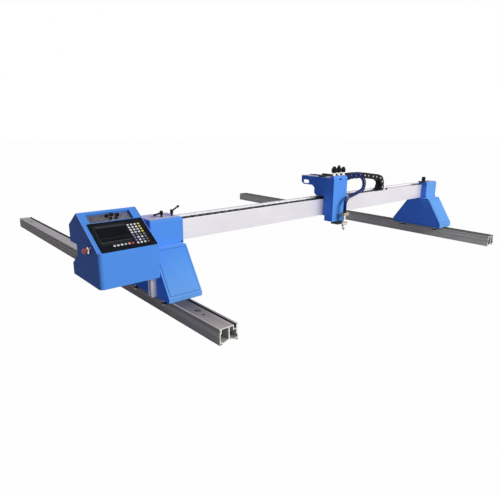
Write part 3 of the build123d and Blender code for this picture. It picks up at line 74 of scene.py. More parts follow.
def build(name, points, faces, material, smooth=35):
    """A mesh object from points and faces; edges sharper than smooth degrees stay crisp."""
    mesh = bpy.data.meshes.new(name)
    mesh.from_pydata(np.asarray(points).tolist(), [], faces)
    mesh.validate()
    mesh.polygons.foreach_set("use_smooth", np.ones(len(mesh.polygons), bool))
    mesh.materials.append(material)
    mesh.set_sharp_from_angle(angle=radians(smooth))
    piece = bpy.data.objects.new(name, mesh)
    bpy.context.scene.collection.objects.link(piece)
    return piece


def gather(shapes):
    """Several (points, faces) shapes as one."""
    points, faces, start = [], [], 0
    for p, f in shapes:
        points.append(p)
        faces += [[c + start for c in face] for face in f]
        start += len(p)
    return np.concatenate(points), faces


def fit(name, shapes, material, body, smooth=35):
    """A piece of one or more shapes that rides on a body and takes a slot's finish."""
    piece = build(name, *gather(shapes), material, smooth)
    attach(piece, body)
    return piece


def loft(rings):
    """Points and faces of a skin through equal rings (k, n, 3); the first and last ring get a flat cap."""
    k, n = rings.shape[:2]
    start, here = n * np.arange(k - 1)[:, None], np.arange(n)
    ahead = (here + 1) % n
    corners = [start + here, start + ahead, start + n + ahead, start + n + here]
    faces = np.stack(corners, -1).reshape(-1, 4).tolist()
    faces.append(list(range(n))[::-1])
    faces.append(list(range((k - 1) * n, k * n)))
    return rings.reshape(-1, 3), faces


def rounded_outline(width, height, radius, per_corner=5):
    """Rectangle outline about the origin, anticlockwise, each corner a quarter circle of that radius."""
    angle = np.linspace(0, pi / 2, per_corner)
    arcs = []
    for turn, (sx, sy) in enumerate(((1, 1), (-1, 1), (-1, -1), (1, -1))):
        a = angle + turn * pi / 2
        x = sx * (width / 2 - radius) + radius * np.cos(a)
        y = sy * (height / 2 - radius) + radius * np.sin(a)
        arcs.append(np.stack([x, y], -1))
    return np.concatenate(arcs)


def plate(origin, u, v, width, height, radius, thickness, edge, per_corner=5):
    """Rounded plate standing on a plane: the outline rises by thickness, and its top edge is a quarter
    round, inset = edge (1 - cos a), rise = edge sin a."""
    w = np.cross(u, v)
    rings = [(0.0, 0.0)]
    for a in np.linspace(0, pi / 2, 4):
        rings.append((edge * (1 - cos(a)), thickness - edge + edge * sin(a)))
    stack = []
    for inset, rise in rings:
        corner = max(radius - inset, radius * 0.2)
        outline = rounded_outline(width - 2 * inset, height - 2 * inset, corner, per_corner)
        stack.append(origin + outline[:, :1] * u + outline[:, 1:] * v + rise * w)
    return loft(np.array(stack))


def turned(origin, axis, profile, sides=32, lobes=0, dip=0.0):
    """Solid of revolution: profile rows are (radius, distance along the axis); each becomes a circle, or with
    lobes a wavy ring of radius r (1 - dip (1 - cos(lobes a)) / 2)."""
    p = unit(np.cross(UP if abs(axis[2]) < 0.9 else EAST, axis))
    q = np.cross(axis, p)
    a = np.linspace(0, 2 * pi, sides, endpoint=False)[None, :, None]
    r, h = np.array(profile, float).T[:, :, None, None]
    r = r * (1 - dip * (1 - np.cos(lobes * a)) / 2)
    return loft(origin + h * axis + r * (np.cos(a) * p + np.sin(a) * q))


def hexagon(origin, axis, across, length, chamfer):
    """Hexagon nut: a six-sided turned shape with both rims chamfered."""
    r = across / 3 ** 0.5
    profile = [(r - chamfer, 0), (r, chamfer), (r, length - chamfer), (r - chamfer, length)]
    return turned(origin, axis, profile, 6)


def carried(path, radius, sides=14):
    """Tube: a circle carried along the path on frames turned no more than the path turns
    (each frame is the last one less its part along the new direction). No path starts along askew."""
    askew = (0.3, 0.2, 0.93)
    path = np.asarray(path, float)
    along = unit(np.gradient(path, axis=0))
    side = np.zeros_like(along)
    side[0] = unit(np.cross(along[0], askew))
    for i in range(1, len(path)):
        side[i] = unit(side[i - 1] - along[i] * np.dot(side[i - 1], along[i]))
    up = np.cross(along, side)
    a = np.linspace(0, 2 * pi, sides, endpoint=False)[None, :, None]
    return loft(path[:, None, :] + radius * (np.cos(a) * side[:, None, :] + np.sin(a) * up[:, None, :]))


def smooth_route(points):
    """Points along the NURBS curve whose control points are the route."""
    data = bpy.data.curves.new("route", "CURVE")
    data.dimensions = "3D"
    spline = data.splines.new("NURBS")
    spline.points.add(len(points) - 1)
    for knot, point in zip(spline.points, points):
        knot.co = (*point, 1.0)
    spline.order_u = 3
    spline.use_endpoint_u = True
    spline.resolution_u = 10
    holder = bpy.data.objects.new("route", data)
    bpy.context.scene.collection.objects.link(holder)
    mesh = bpy.data.meshes.new_from_object(holder)
    line = np.array([v.co for v in mesh.vertices], float)
    bpy.data.objects.remove(holder)
    bpy.data.curves.remove(data)
    bpy.data.meshes.remove(mesh)
    return line


# Shader expressions
def arithmetic(operation, swapped=False):
    """Operator that adds a Math node on a Wire and what follows, Wire or number."""
    def operator(self, *others):
        values = (*others, self) if swapped else (self, *others)
        return self.bench.node("ShaderNodeMath", dict(enumerate(values)), operation=operation)
    return operator


class Wire:
    """A shader socket; arithmetic on it adds Math nodes."""

    def __init__(self, bench, socket):
        self.bench, self.socket = bench, socket

    __add__ = __radd__ = arithmetic("ADD")
    __mul__ = __rmul__ = arithmetic("MULTIPLY")
    __sub__, __rsub__ = arithmetic("SUBTRACT"), arithmetic("SUBTRACT", True)
    __truediv__ = arithmetic("DIVIDE")
    __gt__, __lt__ = arithmetic("GREATER_THAN"), arithmetic("LESS_THAN")
    __abs__ = arithmetic("ABSOLUTE")
    fraction = arithmetic("FRACT")

    def ramp(self, low, high):
        """0 below low, 1 above high, a straight line between."""
        sockets = {"Value": self, "From Min": low, "From Max": high}
        return self.bench.node("ShaderNodeMapRange", sockets, clamp=True)


class Bench:
    """One material, or the world, in the making."""

    def __init__(self, name, world=False):
        self.owner = bpy.data.worlds.new(name) if world else bpy.data.materials.new(name)
        self.owner.use_nodes = True
        self.tree = self.owner.node_tree
        self.tree.nodes.clear()
        self.point = self.node("ShaderNodeTexCoord", {}, "Object")

    def node(self, kind, sockets, output=0, **settings):
        """A shader node with its settings and its socket values or links; gives one output as a Wire."""
        n = self.tree.nodes.new(kind)
        for key, value in settings.items():
            setattr(n, key, value)
        for key, value in sockets.items():
            if isinstance(value, Wire):
                self.tree.links.new(value.socket, n.inputs[key])
            else:
                n.inputs[key].default_value = value
        return Wire(self, n.outputs[output]) if len(n.outputs) else n

    def part(self, vector, way):
        """Part of a vector that lies along a direction."""
        sockets = {0: vector, 1: tuple(way)}
        return self.node("ShaderNodeVectorMath", sockets, "Value", operation="DOT_PRODUCT")

    def along(self, way, offset=0.0):
        """Distance of the object point along a direction, from offset."""
        return self.part(self.point, way) - offset

    def facing(self, way):
        """How far the surface looks along a direction: 1 straight along it, -1 straight away."""
        return self.part(self.node("ShaderNodeTexCoord", {}, "Normal"), way)

    def noise(self, scale, detail=3.0, roughness=0.55, vector=None):
        """Cloudy noise from 0 to 1."""
        sockets = {"Vector": vector or self.point, "Scale": scale, "Detail": detail, "Roughness": roughness}
        return self.node("ShaderNodeTexNoise", sockets, "Fac")

    def streaks(self, scale, turn=(0, 0, 0), detail=2, roughness=0.5):
        """Noise drawn out by a scale for each axis, turned."""
        vector = self.node("ShaderNodeMapping", {"Vector": self.point, "Scale": scale, "Rotation": turn})
        return self.noise(1.0, detail, roughness, vector)

    def cells(self, scale):
        """Distance to the nearest of many scattered points."""
        return self.node("ShaderNodeTexVoronoi", {"Vector": self.point, "Scale": scale}, "Distance")

    def seen_rays(self):
        """1 for rays straight from the eye, mirrored or let through; 0 for the others."""
        kinds = ("Is Camera Ray", "Is Glossy Ray", "Is Transmission Ray")
        seen, mirrored, through = (self.node("ShaderNodeLightPath", {}, kind) for kind in kinds)
        return (seen + mirrored + through).ramp(0.0, 1.0)

    def blend(self, mask, first, second):
        """Colour mix: first where mask is 0, second where it is 1."""
        sockets = {0: mask}
        for place, colour in ((6, first), (7, second)):
            sockets[place] = colour if isinstance(colour, Wire) else (*colour, 1)
        return self.node("ShaderNodeMix", sockets, 2, data_type="RGBA")

    def bump(self, height, depth, strength):
        """Normal of a surface with fine relief."""
        return self.node("ShaderNodeBump", {"Height": height, "Distance": depth, "Strength": strength})

    def finish(self, colour, rough, metal=0.0, normal=None, gloss=0.5):
        """Principled surface and output; gloss is the strength of its clear reflection."""
        sockets = {"Base Color": colour, "Roughness": rough, "Metallic": metal, "Specular IOR Level": gloss}
        if normal:
            sockets["Normal"] = normal
        self.node("ShaderNodeOutputMaterial", {"Surface": self.node("ShaderNodeBsdfPrincipled", sockets)})
        return self.owner


def within(value, middle, half):
    """1 where a value is less than half away from a middle, 0 elsewhere."""
    return abs(value - middle) < half


def spot(dx, dy, full, none):
    """1 within the radius full of a place, 0 outside the radius none; dx and dy are the offsets from it."""
    return 1 - (dx * dx + dy * dy).ramp(full * full, none * none)


# Paint: heights between which the host's skirt front takes painted light, its left edge, the left edge of the
# end carriage
LIT_SKIRT_Z = (0.10, 0.30)
HOST_EDGE_X = (-1.200, -1.195)
END_EDGE_X = (1.1, 1.2)
# Painted light: the lighter blue of the fronts
LIT_FRONT_BLUE = (0.134, 0.345, 0.75)
# Painted shade for the sides that look left: on the console, then on the carriages
CONSOLE_SHADE_BLUE = (0.080, 0.180, 0.54)
CARRIAGE_SHADE_BLUE = (0.070, 0.245, 0.95)


def powder_coat(name, deep, light, top_sheen=None, rubbed=None, gloss=0.004):
    """Powder coat: fine orange peel, faint clouding of the colour and specks of dust. With a top sheen
    colour, a patchy pale painted reflection lies on what looks upwards, in a bluer colour up to the deck of
    the carriages;
    the front is painted lighter, as painted light, low on the host carriage and on the end carriage; the
    sides that look left get a deeper painted shade, dull on the console."""
    b = Bench(name)
    cloud = b.noise(2.3, 4).ramp(0.3, 0.7)
    specks = b.noise(60, 5, 0.7).ramp(0.62, 0.8)
    colour = b.blend(specks * 0.05, b.blend(cloud, deep, light), (0.45, 0.5, 0.6))
    if top_sheen:
        high = b.along(UP, DECK_Z).ramp(0.02, 0.05)
        # Painted reflection: a patchy pale film on upward faces, bluer up to the deck
        film = b.facing(UP).ramp(0.90, 0.98) * (0.65 + 0.4 * b.noise(24, 4))
        colour = b.blend(film, colour, b.blend(high, rubbed, top_sheen))
        width = b.along(EAST)
        # Painted light: fronts low on the host carriage and on the end carriage are painted lighter
        skirt = (1 - b.along(UP).ramp(*LIT_SKIRT_Z)) * width.ramp(*HOST_EDGE_X)
        front_light = b.facing(-NORTH).ramp(0.4, 0.8) * (skirt + width.ramp(*END_EDGE_X)).ramp(0, 1)
        colour = b.blend(front_light, colour, LIT_FRONT_BLUE)
        # Painted shade: the sides that look left are painted deeper, duller on the console
        side = b.facing(-EAST).ramp(0.6, 0.95) * (0.82 + 0.18 * cloud)
        left_shade_blue = b.blend(width.ramp(*HOST_EDGE_X), CONSOLE_SHADE_BLUE, CARRIAGE_SHADE_BLUE)
        colour = b.blend(side, colour, left_shade_blue)
    peel = b.noise(420, 2)
    rough = 0.34 + 0.08 * b.noise(9, 3) + 0.10 * specks
    return b.finish(colour, rough, normal=b.bump(peel, 0.00016, 0.4), gloss=gloss)


def drawn_alloy(name, dark, light, way, rough, metal, streak=420.0, polished=None):
    """Extruded alloy: die lines along one axis, patchy oxide, small handling marks. With a lit-top colour,
    the faces that look upwards at the beam's top height are painted near white, a painted highlight, and turn
    metallic to mirror the room."""
    b = Bench(name)
    scale = [streak] * 3
    scale["XYZ".index(way)] = 1.2
    lines = b.streaks(tuple(scale), detail=3, roughness=0.6)
    patch = b.noise(3.1, 5, 0.6).ramp(0.3, 0.75)
    mark = b.noise(130, 4, 0.7).ramp(0.66, 0.78)
    tone = (0.55 * lines + 0.45 * patch).ramp(0.25, 0.75)
    colour = b.blend(mark * 0.25, b.blend(tone, dark, light), tuple(c * 0.6 for c in dark))
    roughness = rough + 0.16 * (lines - 0.5) + 0.10 * (patch - 0.5)
    if polished:
        # Painted highlight: upward faces at the beam's top height are painted near white and made metallic
        top = b.facing(UP).ramp(0.7, 0.95) * b.along(UP, BEAM_TOP_Z).ramp(-0.003, -0.001)
        colour = b.blend(top, colour, polished)
        metal = metal + (1 - metal) * top
    return b.finish(colour, roughness, metal, b.bump(lines, 0.00012, 0.35))


# Rails, from the left edge: the middle, the rack's channel with its half width, the lip behind the channel
RAIL_MIDDLE = 0.0485
CHANNEL, CHANNEL_HALF = 0.0805, 0.0085
CHANNEL_LIP = (0.086, 0.088)
# Height and half depth of the channel; offset from the middle, height and radii of the screw ports
CHANNEL_Z, CHANNEL_HALF_Z = 0.0645, 0.0100
PORT_OUT, PORT_Z, PORT_RADII = 0.042, 0.0065, (0.0034, 0.0044)
# Along the rails: half the length, the near end where the top's painted shade gives way, where the part
# behind the beam begins
RAIL_HALF_LENGTH = 1.5
NEAR_END_Y = (-1.50, -1.18)
BEHIND_BEAM_Y = (-0.75, -0.35)
# Oil stains: from the left edge, from the end, radius of the full and of no stain, strength
RAIL_STAINS = (
    (0.0345, 0.166, 0.0050, 0.0062, 0.95), (0.0345, 0.166, 0.006, 0.012, 0.35),
    (0.0345, 0.228, 0.0050, 0.0062, 0.95), (0.0430, 0.221, 0.008, 0.019, 0.62),
)


def rail_extrusion(name, left, side_tones, far_top, front_top, near_end_lift, highlight_until):
    """Floor rail: drawn bands and die lines along its length. The top in front of the beam takes a front
    colour, on the main rail a dark painted shade with a blue painted reflection of the host; behind the beam
    it is paler or darker, and at the near end it turns pale and warm. A painted highlight runs along the rim
    of the left edge up to a place; the rack's channel is painted black as shade, the top beyond the lip
    behind it is black behind the beam, oil has crept out of the fixing holes, and the saw-cut ends are bright
    round their screw ports, painted dark inside as shade."""
    b = Bench(name)
    endward = b.facing(NORTH)
    bands = b.streaks((78, 0.3, 78)).ramp(0.32, 0.68)
    lines = b.streaks((420, 1.2, 420), detail=3, roughness=0.6)
    patch = b.noise(5.0, 5, 0.6).ramp(0.3, 0.75)
    tone = (0.5 * bands + 0.3 * lines + 0.2 * patch).ramp(0.15, 0.85)
    length = b.along(NORTH)
    across = b.along(EAST, left)
    behind = length.ramp(*BEHIND_BEAM_Y)
    # Painted shade: the top in front of the beam takes the front colour, dark with a blue painted reflection
    # on the main rail
    top = b.blend(behind, front_top, far_top)
    top = b.blend((1 - length.ramp(*NEAR_END_Y)) * near_end_lift, top, (0.66, 0.61, 0.55))
    top = b.blend(tone * 0.25, top, (0.10, 0.10, 0.105))
    # Painted highlight along the rim of the left edge, up to a place
    rim = (1 - across.ramp(0.0030, 0.0045)) * (1 - length.ramp(highlight_until - 0.1, highlight_until + 0.1))
    top = b.blend(rim * 0.9, top, (0.86, 0.85, 0.80))
    top = b.blend(across.ramp(*CHANNEL_LIP) * behind, top, (0.03, 0.03, 0.03))
    colour = b.blend(b.facing(UP).ramp(0.7, 0.95), b.blend(tone, *side_tones), top)
    # Painted shade: the rack's channel is painted near black
    channel = within(across, CHANNEL, CHANNEL_HALF) * (abs(b.along(UP, CHANNEL_Z)) < CHANNEL_HALF_Z)
    colour = b.blend(channel * (1 - abs(endward)), colour, (0.006, 0.006, 0.007))
    cut = abs(endward).ramp(0.8, 0.95) * (abs(length) > RAIL_HALF_LENGTH - 0.001)
    colour = b.blend(cut, colour, (0.80, 0.80, 0.78))
    from_end = RAIL_HALF_LENGTH - abs(length)
    for inward, place, full, none, share in RAIL_STAINS:
        stain = spot(across - inward, from_end - place, full, none)
        colour = b.blend(share * stain, colour, (0.025, 0.025, 0.03))
    # Painted shade inside the screw ports on the cut ends
    port = spot(abs(across - RAIL_MIDDLE) - PORT_OUT, b.along(UP, PORT_Z), *PORT_RADII)
    colour = b.blend(port, colour, (0.02, 0.02, 0.02))
    roughness = 0.42 + 0.16 * (lines - 0.5) + 0.10 * (patch - 0.5)
    return b.finish(colour, roughness, 0.0, b.bump(lines, 0.00012, 0.35), gloss=0.01)


def ground_steel(name, dark, light, rough, metal=1.0, gloss=0.5):
    """Ground or blackened steel: short grinding marks over a cloudy tone with oily spots."""
    b = Bench(name)
    marks = b.streaks((900, 160, 900), (0.2, 0.1, 0.3))
    cloud = b.noise(14, 4).ramp(0.3, 0.7)
    colour = b.blend(0.6 * cloud + 0.4 * marks, dark, light)
    roughness = rough + 0.14 * (marks - 0.5) + 0.12 * (cloud - 0.5)
    return b.finish(colour, roughness, metal, b.bump(marks, 0.00008, 0.4), gloss=gloss)


def grained_plastic(name, dark, light, rough, grain=700.0):
    """Moulded plastic: fine leather grain, slightly greyer where rubbed."""
    b = Bench(name)
    pits = b.cells(grain)
    rub = b.noise(24, 4, 0.6).ramp(0.5, 0.75)
    roughness = rough - 0.12 * rub + 0.05 * pits
    normal = b.bump(pits, 0.00025, 0.4)
    return b.finish(b.blend(rub, dark, light), roughness, normal=normal, gloss=0.10)


def gloss_plastic(name, dark, light, rough=0.22):
    """Glossy moulded plastic with faint flow clouds and hairline marks."""
    b = Bench(name)
    flow = b.noise(30, 3).ramp(0.3, 0.7)
    hair = b.streaks((260, 260, 1800), (0.5, 0.2, 0))
    return b.finish(b.blend(flow, dark, light), rough + 0.10 * hair, normal=b.bump(hair, 0.00004, 0.3))


def hose_skin(name, dark, light):
    """Smooth hose jacket: faint relief of the braid under it, dusty patches."""
    b = Bench(name)
    dust = b.noise(22, 4).ramp(0.45, 0.75)
    normal = b.bump(b.noise(420, 2), 0.00025, 0.5)
    return b.finish(b.blend(dust, dark, light), 0.42 + 0.14 * dust, normal=normal, gloss=0.08)


def brass_turned(name, dark, light, rough):
    """Turned brass: rings of the cutting tool and darker tarnish patches."""
    b = Bench(name)
    rings = b.streaks((60, 60, 1500))
    tarnish = b.noise(45, 5, 0.65).ramp(0.4, 0.7)
    roughness = rough + 0.20 * tarnish + 0.06 * rings
    return b.finish(b.blend(tarnish, light, dark), roughness, 1.0, b.bump(rings, 0.00006, 0.4))


# The sloping face of the console: its axes and the controller's place on it
SLOPE = radians(33.3)
SLOPE_LENGTH = 0.264
CONSOLE_X0, CONSOLE_X1 = -1.482, -1.194
LIP_Y, LIP_Z = BEAM_FRONT_Y - 0.140, 0.353
SLOPE_U = EAST
SLOPE_V = np.array([0, cos(SLOPE), sin(SLOPE)])
SLOPE_W = np.array([0, -sin(SLOPE), cos(SLOPE)])
SLOPE_O = np.array([CONSOLE_X0, LIP_Y, LIP_Z])
PANEL_LEFT, PANEL_TOP, PANEL_WIDTH = 0.020, 0.182, 0.262
# On the panel: middle and half size of the screen's frame and of the key field under it, rule between them
FRAME_U, FRAME_V, FRAME_HALF_U, FRAME_HALF_V = 0.095, 0.109, 0.0775, 0.0515
FIELD_U, FIELD_V, FIELD_HALF_U, FIELD_HALF_V = 0.087, 0.0485, 0.071, 0.0085
RULE_V, RULE_HALF = 0.0575, 0.0007
# Screen: its corner on the panel, middle and half width of its picture, status bar, shelf and boxes
SCREEN_LEFT, SCREEN_FOOT = 0.022, 0.062
PICTURE_U, PICTURE_HALF = 0.073, 0.070
STATUS_V, SHELF_V, SHELF_HALF, BOX_FOOT_V, BOX_PITCH = 0.0845, 0.0180, 0.0005, 0.006, 0.0146


def slope_point(u, v, w=0.0):
    """Point on the console's slope: u from its left edge, v up from its lip, w out of the sheet."""
    return SLOPE_O + u * SLOPE_U + v * SLOPE_V + w * SLOPE_W


def on_panel(b, left=0.0, foot=0.0):
    """Distances of the shaded point from the panel's left edge and up from the console's lip."""
    u = b.along(SLOPE_U, float(SLOPE_O @ SLOPE_U) + PANEL_LEFT + left)
    v = b.along(SLOPE_V, float(SLOPE_O @ SLOPE_V) + foot)
    return u, v


def panel_film():
    """Controller face: black film with a fine grain, a paler line round the screen and a faint key field."""
    b = Bench("panel_film")
    u, v = on_panel(b)
    frame_u = within(abs(u - FRAME_U), FRAME_HALF_U, RULE_HALF)
    frame_v = within(abs(v - FRAME_V), FRAME_HALF_V, RULE_HALF)
    inside = within(u, FRAME_U, FRAME_HALF_U + RULE_HALF) * within(v, FRAME_V, FRAME_HALF_V + RULE_HALF)
    line = (frame_u + frame_v).ramp(0.0, 1.0) * inside
    field_u = within(u, FIELD_U, FIELD_HALF_U)
    low = field_u * within(v, FIELD_V, FIELD_HALF_V)
    rule = field_u * within(v, RULE_V, RULE_HALF)
    cloud = b.noise(26, 4).ramp(0.35, 0.7)
    colour = b.blend(cloud, (0.006, 0.008, 0.010), (0.012, 0.015, 0.020))
    colour = b.blend(low * (0.5 + 0.5 * cloud), colour, (0.024, 0.027, 0.025))
    colour = b.blend((0.55 * line + 0.6 * rule).ramp(0.0, 1.0), colour, (0.12, 0.13, 0.13))
    normal = b.bump(b.noise(1500, 2), 0.00006, 0.4)
    return b.finish(colour, 0.40 + 0.10 * cloud, normal=normal, gloss=0.015)


def screen_face():
    """Screen behind glass: near black, a grey status bar on top and a row of faint boxes below."""
    b = Bench("screen_face")
    u, v = on_panel(b, SCREEN_LEFT, SCREEN_FOOT)
    inside = within(u, PICTURE_U, PICTURE_HALF)
    status = (v > STATUS_V) * inside
    shelf = within(v, SHELF_V, SHELF_HALF) * inside
    cell = (u / BOX_PITCH).fraction()
    boxes = (abs(cell - 0.5) > 0.47) * (v < SHELF_V) * (v > BOX_FOOT_V) * inside
    glow = b.noise(9, 3).ramp(0.3, 0.8)
    ink = (0.20 * status + 0.30 * shelf + 0.12 * boxes).ramp(0.0, 1.0)
    base = b.blend(glow, (0.004, 0.0045, 0.006), (0.010, 0.011, 0.014))
    return b.finish(b.blend(ink, base, (0.20, 0.22, 0.25)), 0.16 + 0.08 * glow, gloss=0.02)


def recess_sheet():
    """Mottled plate in the recess above the controller: brownish grey, paler and bluer to the right."""
    b = Bench("recess_sheet")
    blot = b.noise(85, 5, 0.7).ramp(0.35, 0.65)
    fine = b.noise(700, 3)
    right = b.along(SLOPE_U, CONSOLE_X0).ramp(0.10, 0.24)
    warm = b.blend(blot, (0.036, 0.034, 0.044), (0.17, 0.155, 0.160))
    cool = b.blend(blot, (0.050, 0.055, 0.085), (0.20, 0.20, 0.27))
    return b.finish(b.blend(right, warm, cool), 0.48 + 0.15 * fine, 0.1, b.bump(blot, 0.0004, 0.6))


# Torch: foot of its head block, height under which its nozzle is all soot, direction of its flank with
# painted shade;
# buttons: the line between their two collars
HEAD_FOOT_Z, SOOT_Z = 0.3165, 0.2225
SHADED_FLANK = (-0.762, 0.648, 0)
COLLARS_PART_Y = -0.994


def painted_flank_shade(b):
    """Share of painted shade on the rear left flank of the torch."""
    return b.facing(SHADED_FLANK).ramp(0.15, 0.6)


def torch_finish():
    """Torch body: bright nickel turned in rings, a head block above whose plating is worn to dark brown
    patches, and painted shade on its rear left flank."""
    b = Bench("torch_finish")
    head = b.along(UP, HEAD_FOOT_Z).ramp(-0.001, 0.001)
    rings = b.streaks((60, 60, 1500))
    tarnish = b.noise(45, 5, 0.65).ramp(0.4, 0.7)
    bright = b.blend(tarnish, (0.86, 0.85, 0.80), (0.70, 0.68, 0.60))
    worn = b.noise(60, 4, 0.65).ramp(0.36, 0.66)
    brown = b.blend(worn, (0.66, 0.63, 0.52), (0.26, 0.22, 0.15))
    rough = 0.26 + 0.16 * tarnish + 0.06 * rings + 0.06 * head
    colour = b.blend(painted_flank_shade(b) * 0.88, b.blend(head, bright, brown), (0.035, 0.033, 0.03))
    return b.finish(colour, rough, 0.75, b.bump(rings, 0.00006, 0.4))


def nozzle_finish():
    """Nozzle cap: bright nickel shoulder going to a sooty tip, and painted shade on its rear left flank."""
    b = Bench("nozzle_finish")
    soot = 1 - b.along(UP, SOOT_Z).ramp(0.0, 0.014)
    rings = b.streaks((60, 60, 1700))
    stain = b.noise(160, 4, 0.65).ramp(0.35, 0.7)
    bright = b.blend(stain, (0.84, 0.84, 0.82), (0.60, 0.58, 0.54))
    black = b.blend(stain, (0.05, 0.048, 0.045), (0.12, 0.105, 0.09))
    rough = 0.24 + 0.28 * soot + 0.10 * rings
    colour = b.blend(painted_flank_shade(b) * 0.92, b.blend(soot * 0.9, bright, black), (0.02, 0.02, 0.02))
    return b.finish(colour, rough, 0.8 - 0.5 * soot, b.bump(rings, 0.00006, 0.4))


def collar_finish():
    """Button collars: black rubber with a bright front at the emergency stop, blue at the power button."""
    b = Bench("collar_finish")
    power = 1 - b.along(NORTH, COLLARS_PART_Y).ramp(0.0, 0.0005)
    front = b.facing(-EAST).ramp(0.8, 0.95) * (1 - power)
    rub = b.noise(24, 4, 0.6).ramp(0.5, 0.75)
    black = b.blend(rub, (0.008, 0.008, 0.009), (0.028, 0.028, 0.030))
    painted = b.blend(rub, (0.05, 0.11, 0.30), (0.09, 0.16, 0.38))
    colour = b.blend(front, b.blend(power, black, painted), (0.90, 0.90, 0.92))
    roughness = 0.46 - 0.1 * rub - 0.16 * front
    normal = b.bump(b.cells(700), 0.00025, 0.4)
    return b.finish(colour, roughness, 0.8 * front, normal, gloss=0.1)


# The finishes
# Blue coat; its last two colours are the painted reflection on upward faces, above and below the deck
blue = powder_coat(
    "blue_coat", (0.082, 0.276, 0.755), (0.092, 0.298, 0.795), (0.72, 0.72, 0.92), (0.26, 0.52, 1.0))
# Paler blue for the console's hems: a painted highlight on the slope's edges
hem_highlight_blue = powder_coat("hem_highlight_blue", (0.17, 0.33, 0.8), (0.2, 0.37, 0.84), gloss=0.1)
seal_navy = powder_coat("seal_navy", (0.016, 0.07, 0.24), (0.022, 0.085, 0.29))
motor_coat = powder_coat("motor_coat", (0.01, 0.01, 0.011), (0.022, 0.022, 0.024))
# Main rail: its dark bluish front top is a painted shade and reflection of the host, giving way at the near
# end
main_alloy = rail_extrusion(
    "main_alloy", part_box("main_rail")[0][0], ((0.36, 0.375, 0.32), (0.6, 0.62, 0.54)),
    (0.68, 0.7, 0.67), (0.14, 0.14, 0.165), 0.85, 2.0)
# Idle rail: the same extrusion, its sides painted much lighter as painted light
idle_alloy_lit_sides = rail_extrusion(
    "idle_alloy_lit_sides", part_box("idle_rail")[0][0], ((0.5, 0.54, 0.46), (0.92, 0.97, 0.86)),
    (0.08, 0.082, 0.08), (0.08, 0.082, 0.08), 0.05, -0.95)
beam_alloy = drawn_alloy(
    "beam_alloy", (0.68, 0.665, 0.69), (0.79, 0.775, 0.8), "X", 0.36, 0.3, 260.0, (0.96, 0.96, 0.97))
bracket_alloy = drawn_alloy("bracket_alloy", (0.93, 0.94, 0.95), (0.98, 0.98, 0.99), "Z", 0.3, 0.0)
rack_alloy = drawn_alloy(
    "rack_alloy", (0.9, 0.9, 0.91), (0.96, 0.96, 0.97), "X", 0.34, 0.0, polished=(0.97, 0.97, 0.98))
supply_case = drawn_alloy("supply_case", (0.45, 0.46, 0.46), (0.6, 0.6, 0.6), "X", 0.4, 0.9)
bright_steel = ground_steel("bright_steel", (0.3, 0.3, 0.31), (0.52, 0.52, 0.53), 0.34)
black_steel = ground_steel("black_steel", (0.012, 0.012, 0.013), (0.05, 0.05, 0.052), 0.42, 0.6)
oiled_rack = ground_steel("oiled_rack", (0.004, 0.004, 0.005), (0.016, 0.016, 0.018), 0.5, 0.0, 0.01)
oxide_screw = ground_steel("oxide_screw", (0.015, 0.015, 0.017), (0.06, 0.06, 0.065), 0.36, 0.8)
plated = ground_steel("plated", (0.66, 0.66, 0.67), (0.82, 0.82, 0.83), 0.2)
black_grip = grained_plastic("black_grip", (0.008, 0.008, 0.009), (0.028, 0.028, 0.03), 0.48)
chain_black = grained_plastic("chain_black", (0.01, 0.01, 0.012), (0.03, 0.031, 0.036), 0.42, 420.0)
pin_pale = gloss_plastic("pin_pale", (0.62, 0.63, 0.66), (0.8, 0.81, 0.84), 0.4)
stop_red = gloss_plastic("stop_red", (0.3, 0.018, 0.022), (0.42, 0.03, 0.034), 0.2)
button_grey = gloss_plastic("button_grey", (0.46, 0.5, 0.62), (0.6, 0.64, 0.76))
board_lacquer = gloss_plastic("board_lacquer", (0.01, 0.09, 0.035), (0.02, 0.15, 0.06), 0.35)
brass = brass_turned("brass", (0.2, 0.165, 0.09), (0.42, 0.36, 0.22), 0.32)
hose_blue = hose_skin("hose_blue", (0.007, 0.018, 0.11), (0.012, 0.03, 0.16))

NODE_FINISH = (
    (main_alloy, "main_rail"),
    (idle_alloy_lit_sides, "idle_rail"),
    (oiled_rack, "main_rack"),
    (beam_alloy, "beam"),
    (rack_alloy, "beam_rack"),
    (blue, "host_shroud host_beam_socket end_shroud end_beam_socket console_shell console_back_cover"),
    (blue, "carriage_housing valve_block"),
    (bracket_alloy, "console_bracket carriage_plate"),
    (bright_steel, "y_pinion x_pinion roller_axles z_guide_rods z_screw"),
    (black_steel, "host_base_plate host_roller_front host_roller_rear host_roller_side"),
    (black_steel, "end_base_plate end_roller_front end_roller_rear end_roller_side end_clamp_plate"),
    (black_steel, "carriage_roller_left carriage_roller_right lifter_slide torch_holder"),
    (motor_coat, "y_gearmotor x_gearmotor z_motor"),
    (black_grip, "clamp_lever_left clamp_lever_right end_clamp_knob panel_sockets torch_clamp_knob"),
    (plated, "estop_plunger"),
    (stop_red, "estop_head"),
    (button_grey, "power_button"),
    (collar_finish(), "button_collars"),
    (panel_film(), "controller_panel"),
    (screen_face(), "display_glass"),
    (supply_case, "power_supply"),
    (board_lacquer, "driver_board"),
    (torch_finish(), "torch_body"),
    (nozzle_finish(), "torch_nozzle"),
    (oxide_screw, "cover_screws"),
)
for finish, nodes in NODE_FINISH:
    for node in nodes.split():
        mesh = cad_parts[node].data
        mesh.materials.clear()
        mesh.materials.append(finish)

